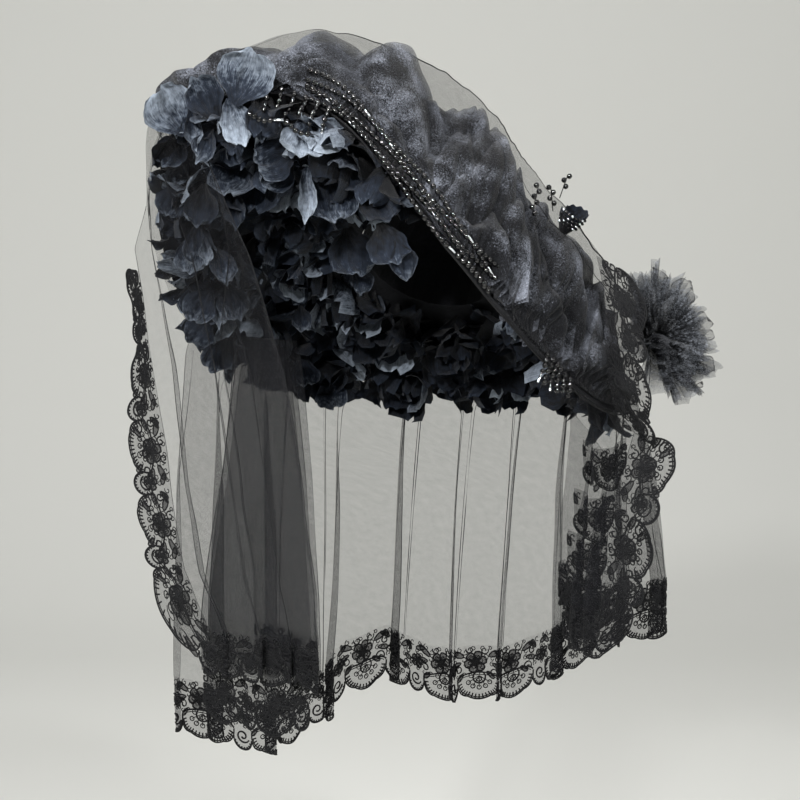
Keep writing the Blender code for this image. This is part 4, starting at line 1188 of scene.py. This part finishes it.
def leaf_line(x, y, degrees, length, width, sides=10, wave=0.0):
    """Closed outline of a petal or leaf that grows from (x, y)."""
    turn = np.linspace(0, 2 * math.pi, sides, endpoint=False)
    along = length * (0.5 - 0.5 * np.cos(turn))
    beside = width / 2 * np.sin(turn) * (0.75 + 0.5 * (along / length)) + wave * np.sin(3 * turn)
    angle = math.radians(degrees)
    return np.stack([x + along * math.cos(angle) - beside * math.sin(angle),
                     y + along * math.sin(angle) + beside * math.cos(angle)], -1)


def scroll_line(x, y, start, end, first, last, count=26):
    turn = np.radians(np.linspace(first, last, count))
    radius = np.linspace(start, end, count)
    return np.stack([x + radius * np.cos(turn), y + radius * np.sin(turn)], -1)


def scallop_line(centre, half, deep, height, lobes, count):
    """Lower outline of one scallop, with lobes, from its right corner to its left."""
    turn = np.linspace(0, math.pi, count)
    out = 1.0 + 0.09 * np.abs(np.sin(lobes * turn)) - 0.05
    return np.stack([centre + half * np.cos(turn) * (1.0 + 0.02 * np.sin(turn)),
                     height - deep + deep * np.sin(turn) ** 0.8 * out], -1)


def lace_motif(height):
    """One repeat: cords, threads and stitched shapes, as x along and y down the border."""
    rng = np.random.default_rng(12)
    cords, fine, shapes = [], [], []
    big = scallop_line(BIG_CENTRE, BIG_HALF, BIG_DEEP, height, 3, 37)
    small = scallop_line(SMALL_CENTRE, SMALL_HALF, SMALL_DEEP, height - 0.003, 1, 19)
    cords += [(big, LACE_CORD, False), (small, LACE_CORD, False)]
    for line, centre, level in ((big, BIG_CENTRE, height - 0.030), (small, SMALL_CENTRE, height - 0.019)):
        middle = np.array((centre, level))
        inner = middle + (line - middle) * 0.78
        fine.append((middle + (line[2:-2] - middle) * 0.92, LACE_FINE * 1.2, False))
        for index in range(2, len(line) - 2, 2):
            fine.append((np.stack([line[index], inner[index]]), LACE_FINE * 1.6, False))
    for k in range(5):
        turn = math.radians(28 + 31 * k)
        spot = (BIG_CENTRE + 0.0165 * math.cos(turn), height - 0.030 + 0.0145 * math.sin(turn))
        cords.append((ring_line(*spot, 0.0030, 8), LACE_STEM, True))
        fine.append((np.array([(BIG_CENTRE, height - 0.032), spot]), LACE_FINE, False))
    cords.append((scroll_line(BIG_CENTRE, height - 0.030, 0.0085, 0.0085, 0, 360, 14), LACE_CORD, True))
    cords.append((scroll_line(BIG_CENTRE, height - 0.028, 0.0045, 0.0015, 0, 400, 12), LACE_STEM, False))
    cords.append((scroll_line(SMALL_CENTRE, height - 0.021, 0.0095, 0.0022, 160, -320, 20), LACE_CORD, False))
    arch = np.linspace(0.12, math.pi - 0.12, 20)
    for lift, thick in ((0.000, LACE_CORD), (0.0035, LACE_FINE)):
        rise = height - BIG_DEEP - (0.010 - lift) * np.sin(arch)
        cords.append((np.stack([BIG_CENTRE + (BIG_HALF - lift) * np.cos(arch), rise], -1), thick, False))
    for flower in LACE_FLOWERS:
        for k in range(flower.petals):
            turn = flower.first + 360 / flower.petals * k
            petal = leaf_line(flower.x, flower.y, turn, flower.length, flower.width, 10, 0.0005)
            heart = leaf_line(flower.x, flower.y, turn, flower.length * 0.66, flower.width * 0.5, 8)
            cords.append((petal, LACE_CORD, True))
            fine.append((heart, LACE_FINE, True))
            shapes.append(petal)
        cords.append((ring_line(flower.x, flower.y, 0.0024, 7), LACE_CORD, True))
    for leaf in LACE_LEAVES:
        outline = leaf_line(leaf.x, leaf.y, leaf.turn, leaf.length, leaf.width, 9)
        cords.append((outline, LACE_STEM * 1.2, True))
        shapes.append(outline)
    for scroll in LACE_SCROLLS:
        cords.append((scroll_line(*scroll[:6], count=scroll.points), LACE_STEM * 1.2, False))
    for row in range(CURL_ROWS):
        for column in range(CURL_COLUMNS):
            x = (column + 0.5 * (row % 2) + rng.uniform(0.1, 0.6)) / CURL_COLUMNS * LACE_REPEAT
            y = 0.006 + (row + rng.uniform(-0.2, 0.3)) * 0.0115
            start = rng.uniform(0, 360)
            spin = rng.choice((-1, 1)) * rng.uniform(260, 420)
            curl = scroll_line(x, y, rng.uniform(0.0030, 0.0050), 0.0012, start, start + spin, 9)
            fine.append((curl, LACE_FINE, False))
    return cords, fine, shapes


def edge_depth(along, height):
    """Depth of the scalloped edge at a distance along one repeat."""
    deepest = np.full_like(along, height - 0.027)
    scallops = (
        scallop_line(BIG_CENTRE, BIG_HALF, BIG_DEEP, height, 3, 60),
        scallop_line(SMALL_CENTRE, SMALL_HALF, SMALL_DEEP, height - 0.003, 1, 30))
    for line in scallops:
        order = np.argsort(line[:, 0])
        inside = (along > line[:, 0].min()) & (along < line[:, 0].max())
        deepest = np.where(inside, np.interp(along, line[order, 0], line[order, 1]), deepest)
    return deepest


class LaceBand:
    """Carries lace places, a distance along and down, over to a border that hangs from a line."""

    def __init__(self, boundary, ways, height, ripple=0.003, seed=5):
        self.boundary, self.height, self.ripple, self.seed = np.asarray(boundary), height, ripple, seed
        self.ways = unit(ways)
        self.lengths = arc_lengths(self.boundary)
        tangent = np.gradient(self.boundary, axis=0)
        even = np.ones(9) / 9
        tangent = np.stack([np.convolve(np.pad(part, 4, "edge"), even, "valid") for part in tangent.T], -1)
        self.sides = unit(np.cross(tangent, self.ways))
        self.repeats = max(1, round(self.lengths[-1] / LACE_REPEAT))
        self.stretch = self.lengths[-1] / (self.repeats * LACE_REPEAT)

    def read(self, values, along):
        return np.stack([np.interp(along, self.lengths, values[:, k]) for k in range(3)], -1)

    def place(self, along, down, lift=0.0):
        along = np.asarray(along) * self.stretch
        down = np.asarray(down)
        wave = self.ripple * down / self.height * wander(along * 28, down * 14, self.seed, 3)
        base = self.read(self.boundary, along) + unit(self.read(self.ways, along)) * down[..., None]
        return base + self.read(self.sides, along) * (wave + lift)[..., None]

    def ground(self):
        """Net under the threads, ending at the scalloped edge."""
        along = np.linspace(0, self.repeats * LACE_REPEAT, self.repeats * 44 + 1)
        edge = edge_depth(along % LACE_REPEAT, self.height)
        down = np.linspace(0, 1, 16)[:, None] * edge
        return self.place(np.broadcast_to(along, down.shape), down)


def make_lace(name, bands, node):
    """Ground net, stitched shapes and cords of some borders, as one piece of each kind."""
    lines = Threads()
    points, faces, grids = [], [], []
    for band in bands:
        cords, fine, shapes = lace_motif(band.height)
        for repeat in range(band.repeats):
            shift = repeat * LACE_REPEAT
            for line, radius, closed in cords + fine:
                lines.add(band.place(line[:, 0] + shift, np.maximum(line[:, 1], 0.0005)), radius, closed)
            for outline in shapes:
                start = len(points)
                loop = np.concatenate([outline, outline.mean(0)[None]])
                raised = np.full(len(loop), 0.0004)
                points += band.place(loop[:, 0] + shift, np.maximum(loop[:, 1], 0.0005), raised).tolist()
                count = len(outline)
                faces += [(start + k, start + (k + 1) % count, start + count) for k in range(count)]
        grids.append(band.ground())
    cord = dress(grow_threads(name + "_cord", lines, 4, "cord"), "lace", node)
    stitched = dress(piece_from(name + "_stitching", points, faces, MATERIALS["stitch"]), "lace", node)
    ground = dress(join_grids(name + "_ground", grids, "net"), "lace", node)


# Line down the veil from which lace hangs over the rosette
ROSETTE_LACE = table(
    "x y z",
    (0.188, -0.108, 0.014), (0.196, -0.128, -0.031), (0.196, -0.138, -0.078), (0.200, -0.136, -0.126),
    (0.215, -0.114, -0.178))
# Further lace where a fall is folded back in tiers: row and columns of the fall it hangs from
RIGHT_TIERS = table(
    "level first last height behind",
    (0.27, 12, 130, 0.050, 0.002), (0.44, 6, 140, 0.054, 0.004), (0.62, 0, 150, 0.056, 0.009),
    (0.80, 0, 170, 0.056, 0.014))
LEFT_TIERS = table("level first last height behind", (0.97, 2, 66, 0.066, 0.003))


def make_laces(curtain, left, right, gathers):
    hem = curtain[-1]
    make_lace("hem_lace", [LaceBand(hem, np.broadcast_to(DOWN, hem.shape), HEM_LACE + 0.004)], "hem_lace")
    for name, grid, first, high, low, tiers, behind in (
            ("left_fall_lace", left, 19, (-0.42, 0.90, 0.0), (-0.84, 0.54, -0.05), LEFT_TIERS, gathers[0]),
            ("right_fall_lace", right, 20, (0.86, -0.45, -0.15), (0.80, -0.50, -0.30), RIGHT_TIERS, right)):
        side = grid[first:, 0]
        bottom = grid[-1, 1:]
        boundary = np.concatenate([side, bottom])
        turn = np.concatenate([smooth(len(side) * 0.80, len(side), np.arange(len(side))), np.ones(len(bottom))])
        opening = smooth(len(side) * 0.18, len(side) * 0.36, np.arange(len(boundary)))[:, None]
        bands = [LaceBand(boundary, mix(mix(unit(high), unit(low), opening), DOWN, turn[:, None]), 0.058, seed=9)]
        for tier in tiers:
            line = behind[int(tier.level * (len(behind) - 1)), tier.first:tier.last]
            sag = DOWN * 0.012 * np.sin(np.linspace(0, math.pi, len(line)))[:, None]
            line = line + np.array((0.0, tier.behind, 0.0)) + sag
            bands.append(LaceBand(line, np.broadcast_to(DOWN, line.shape), tier.height, seed=11))
        if name == "right_fall_lace":
            line = table_at(ROSETTE_LACE, "xyz", np.linspace(0, len(ROSETTE_LACE) - 1, 60))
            bands.append(LaceBand(line, np.broadcast_to((0.80, -0.25, -0.45), line.shape), 0.056, seed=12))
        make_lace(name, bands, name)


# Beads
ROUND, CUT, BUGLE = range(3)


def bead_shapes():
    """Round bead, cut bead and bugle, each of unit length along Y."""
    def turned(profile, sides):
        turn = np.linspace(0, 2 * math.pi, sides, endpoint=False)
        points = [(r * math.cos(t), y, r * math.sin(t)) for y, r in profile for t in turn]
        count, last = len(points), (len(profile) - 1) * sides
        points += [(0, profile[0][0], 0), (0, profile[-1][0], 0)]
        faces = grid_faces(len(profile), sides, closed=True).tolist()
        faces += [((k + 1) % sides, k, count) for k in range(sides)]
        faces += [(last + k, last + (k + 1) % sides, count + 1) for k in range(sides)]
        return points, faces, None

    round_bead = turned([(0.5 * math.sin(t), 0.5 * math.cos(t)) for t in np.linspace(-1.3, 1.3, 6)], 10)
    cut_bead = turned([(-0.44, 0.20), (-0.20, 0.48), (0.20, 0.48), (0.44, 0.20)], 8)
    bugle = turned([(-0.5, 0.10), (-0.46, 0.14), (0.46, 0.14), (0.5, 0.10)], 10)
    return [round_bead, cut_bead, bugle]


def band_bead(number, strand):
    """A bugle now and then, and every fifth bead cut."""
    if (number + 5 * strand) % 23 == 8:
        return BUGLE
    return CUT if number % 5 == 4 else ROUND


def string_beads(glass, silver, threads, line, sizes, kind_of, rng):
    """Threads beads along a line: kind_of gives the kind of each bead in turn, the bugles silver-lined."""
    lengths = arc_lengths(line)
    along, number = 0.0, 0
    while True:
        kind = kind_of(number)
        length = sizes[kind] * rng.uniform(0.92, 1.08)
        if along + length > lengths[-1]:
            break
        near, far = (np.array([np.interp(place, lengths, axis) for axis in line.T])
                     for place in (along, along + length))
        (silver if kind == BUGLE else glass).add((near + far) / 2, far - near, (0.1, -0.9, 0.4), length, kind)
        along += length * 1.16
        number += 1
    threads.add(line, 0.0004)


def brim_edge_line(angles, outset, rise):
    reach = around(BRIM_EDGE, "reach", angles) + outset
    return hat_point(angles, reach, around(BRIM_EDGE, "rise", angles) + rise)


BEAD_SIZES = (0.0064, 0.0058, 0.0100)


def bead_piece(name, glass, silver, threads, node):
    for places, part, material in ((glass, "_glass", "jet"), (silver, "_bugles", "silver")):
        if places.rows:
            dress(grow_parts(name + part, places, BEADS, material), "jet_beads", node)
    dress(grow_threads(name + "_string", threads, 5, "cord"), "jet_beads", node)


def make_bead_strings():
    rng = np.random.default_rng(3)
    glass, silver, threads = Places(), Places(), Threads()
    for strand in range(5):
        angles = np.linspace(-117.0, -61.0, 160)
        sway = 0.0035 * np.sin(np.linspace(0, 9.0 + strand, 160) + strand * 1.7)
        line = brim_edge_line(angles, 0.0050 + 0.0020 * strand, 0.0005 + 0.0072 * strand + sway)
        string_beads(glass, silver, threads, line, BEAD_SIZES, lambda k: band_bead(k, strand), rng)
    bead_piece("bead_band", glass, silver, threads, "bead_band")
    groups = (
        ("bead_fringe", np.linspace(-125.5, -111.5, 7), 0.002, -0.042),
        ("bead_strings_side", np.linspace(-136.4, -134.2, 3), 0.002, -0.046),
        ("bead_drops", np.linspace(-33.0, -19.5, 6), 0.006, -0.038),
    )
    for name, angles, top, bottom in groups:
        glass, silver, threads = Places(), Places(), Threads()
        for index, angle in enumerate(angles):
            drop = bottom * rng.uniform(0.72, 1.0)
            step = np.linspace(0, 1, 24)
            line = brim_edge_line(np.full(24, angle), 0.0075, mix(top, drop, step))
            line = line + outward(angle) * (0.002 * np.sin(step * 5 + index))[:, None]
            last = 4 + index % 2
            string_beads(glass, silver, threads, line, BEAD_SIZES, lambda k: BUGLE if k == last else k % 2, rng)
        if name == "bead_fringe":
            swag = np.linspace(angles[0], angles[-1], 60)
            line = brim_edge_line(swag, 0.0100, bottom + 0.004 * np.cos(np.linspace(0, 12.6, 60)))
            string_beads(glass, silver, threads, line, BEAD_SIZES, lambda k: BUGLE if k % 6 == 5 else ROUND, rng)
        bead_piece(name, glass, silver, threads, name)


# Where each spray stands on the veil: angle and row of its dome
SPRAYS = table(
    "name angle row beads wire lean_x lean_z",
    ("bead_spray_low", -52.8, 48, 6, 0.000, 0.20, 1.0), ("bead_spray_middle", -40.8, 45, 4, 0.006, -0.10, 1.0),
    ("bead_spray_tall", -36.6, 43, 3, 0.012, 0.35, 1.0))


def on_veil(dome, angle, row):
    """A place on the veil, from the angle and the row of its dome."""
    return dome[row, round((angle + 180.0) / 360.0 * VEIL_COLUMNS)]


SPRAY_STEP = 0.0062
SPRAY_BEAD = 0.0064
SPRAY_ZIGZAG = 0.0022


def make_sprays(dome):
    for spray in SPRAYS:
        start = on_veil(dome, spray.angle, spray.row) + outward(spray.angle) * 0.004
        way = unit((spray.lean_x, 0.0, spray.lean_z))
        across = unit(np.cross(way, (0.0, 1.0, 0.0)))
        glass, threads = Places(), Threads()
        for bead in range(spray.beads):
            side = SPRAY_ZIGZAG * (1 if bead % 2 else -1)
            middle = start + way * (spray.wire + SPRAY_STEP * (bead + 0.5)) + across * side
            glass.add(middle, way, (0.0, -1.0, 0.1), SPRAY_BEAD, ROUND)
        end = start + way * (spray.wire + SPRAY_STEP * spray.beads - 0.002)
        threads.add(np.linspace(start, end, 8), 0.0006)
        bead_piece(spray.name, glass, Places(), threads, spray.name)


# Rosette and bud
ROSETTE_ANGLE = 11.25
ROSETTE_AXIS = unit((0.70, -0.55, 0.35))
ROSETTE_SEAT = 0.0023
RUFFLES = table(
    "name throat reach depth waves wave up",
    ("rosette_outer_ruffle", 0.0100, 0.084, 0.034, 9, 0.012, 0.0205),
    ("rosette_inner_ruffle", 0.0070, 0.054, 0.036, 7, 0.008, 0.0320))
RUFFLE_LAYERS = 4


def square_to(axis, guide):
    """Two directions square to an axis; the guide only says how they are turned."""
    across = unit(np.cross(axis, guide))
    return across, np.cross(axis, across)


def rosette_frame():
    seat = crest_point(np.array(ROSETTE_ANGLE), np.array(1.0)) + outward(ROSETTE_ANGLE) * ROSETTE_SEAT
    return seat, *square_to(ROSETTE_AXIS, (0.2, 0.4, 0.9))


def make_rosette():
    foot, across, other = rosette_frame()
    for order, ruffle in enumerate(RUFFLES):
        grids, thin = [], []
        for layer in range(RUFFLE_LAYERS):
            level, turn = np.meshgrid(np.linspace(0, 1, 20), np.linspace(0, 2 * math.pi, 220), indexing="ij")
            seed = 300 + 10 * order + layer
            round_x, round_y = np.cos(turn), np.sin(turn)
            frill = wander(round_x * 7, round_y * 7, seed, 3)
            ragged = wander(round_x * 22, round_y * 22, seed + 5, 3)
            reach = ruffle.reach * (1.0 - 0.10 * layer) * (1 + 0.10 * frill + 0.07 * ragged)
            radius = mix(ruffle.throat, reach, level**1.2)
            wave = (ruffle.wave * np.sin(ruffle.waves * turn + layer * 1.9) * level**1.2
                    + 0.004 * np.sin(31 * turn + 4 * frill) * level + 0.005 * frill * level)
            height = ruffle.up + ruffle.depth * level**0.7 * (0.75 + 0.14 * layer) + wave
            # Above zero the frayed rim is barer; below zero, towards the throat, painted shade
            thin.append(1.25 * level**2.5 - 0.45)
            grids.append(foot + ROSETTE_AXIS * height[..., None]
                         + across * (radius * round_x)[..., None] + other * (radius * round_y)[..., None])
        piece = join_grids(ruffle.name + "_frill", grids, "ruffle", thin)
        dress(piece, "crinoline", ruffle.name)


# Sheer petals round the rosette's frill: turn about its axis, length, how far they lean out
SHEER_PETALS = table(
    "turn length lean",
    (0.0, 0.040, 0.9), (50.0, 0.036, 0.5), (95.0, 0.042, 0.8), (150.0, 0.034, 0.6), (205.0, 0.040, 0.9),
    (255.0, 0.036, 0.7), (310.0, 0.038, 0.6))


def make_sheer_petals():
    seat, across, other = rosette_frame()
    places = Places()
    for petal in SHEER_PETALS:
        turn = math.radians(petal.turn)
        out = across * math.cos(turn) + other * math.sin(turn)
        forward = unit(out * petal.lean + ROSETTE_AXIS * 0.45)
        root = seat + ROSETTE_AXIS * 0.048 + out * 0.046
        size = (petal.length * 1.25, petal.length, petal.length)
        places.add(root, forward, ROSETTE_AXIS, size, round(petal.turn) % 3)
    makers = [petal_shape(kind, 80 + k, 16, 11) for k, kind in enumerate(PETAL_KINDS[:3])]
    shapes = parts_collection("sheer_petal", makers)
    piece = grow_parts("rosette_sheer_petals", places, shapes, "sheer_petal", 0.006, 0.020)
    dress(piece, "crinoline", "rosette_outer_ruffle")


BUD_ANGLE = -34.6
BUD_ROW = 46
BUD_AXIS = unit((0.45, -0.40, 0.80))
BUD_HEIGHT = 0.030
BUD_RADII = (0.006, 0.017)
BUD_TURN = math.radians(420.0)
BUD_CLOSING = 0.32


def make_bud(dome):
    seat = on_veil(dome, BUD_ANGLE, BUD_ROW) + BUD_AXIS * 0.0016
    across, other = square_to(BUD_AXIS, (0.0, 1.0, 0.2))
    level, share = np.meshgrid(np.linspace(0, 1, 16), np.linspace(0, 1, 60), indexing="ij")
    turn = BUD_TURN * share
    radius = mix(*BUD_RADII, np.sin(level * math.pi / 2)) * (1 - BUD_CLOSING * share)
    height = BUD_HEIGHT * level * (1 - 0.10 * np.cos(turn) * level) + 0.0012 * np.sin(9 * turn) * level**4
    grid = seat + BUD_AXIS * height[..., None] + across * (radius * np.cos(turn))[..., None]
    grid = grid + other * (radius * np.sin(turn))[..., None]
    bud = piece_from("rolled_bud_petal", grid, grid_faces(16, 60), MATERIALS["petal"],
                     np.stack([share, level], -1))
    bud.data.attributes.new("shade", "FLOAT", "POINT").data.foreach_set("value", np.full(len(bud.data.vertices), 0.08))
    dress(bud, "petal_organza", "rolled_bud")
    glass, silver, threads = Places(), Places(), Threads()
    for row in range(4):
        spin = np.linspace(0.55, 2.45, 8 - row)
        level = 0.94 - 0.17 * row
        reach = mix(*BUD_RADII, math.sin(level * math.pi / 2)) * (1.02 - BUD_CLOSING * spin / BUD_TURN) + 0.0008
        line = seat + BUD_AXIS * (BUD_HEIGHT * level) + across * (reach * np.cos(spin))[:, None]
        line = line + other * (reach * np.sin(spin))[:, None]
        for number, spot in enumerate(line):
            (silver if (number + row) % 3 == 0 else glass).add(spot, across, BUD_AXIS, 0.0034, ROUND)
        threads.add(line, 0.0004)
    bead_piece("rolled_bud_beads", glass, silver, threads, "rolled_bud")


def make_binding():
    """Thin cord round the brim's bare edge."""
    threads = Threads()
    threads.add(brim_edge_line(np.linspace(-121.0, 12.0, 200), 0.0006, -0.0012), 0.0014)
    dress(grow_threads("brim_edge_cord", threads, 6, "cord"), "felt")


def dress_felt():
    """The solids whose shape is right keep it and get the felt."""
    for name in ("crown", "brim", "rosette_core"):
        NODES[name].data.materials.clear()
        NODES[name].data.materials.append(MATERIALS["felt"])


BEADS = parts_collection("bead", bead_shapes())
make_studio()
dress_felt()
make_petals()
make_fans()
dome_points, curtain_points = make_veil()
left_points, right_points, gathered_points = make_falls()
make_creases(dome_points, curtain_points, left_points, right_points, gathered_points)
make_laces(curtain_points, left_points, right_points, gathered_points)
make_bead_strings()
make_sprays(dome_points)
make_rosette()
make_sheer_petals()
make_bud(dome_points)
make_binding()
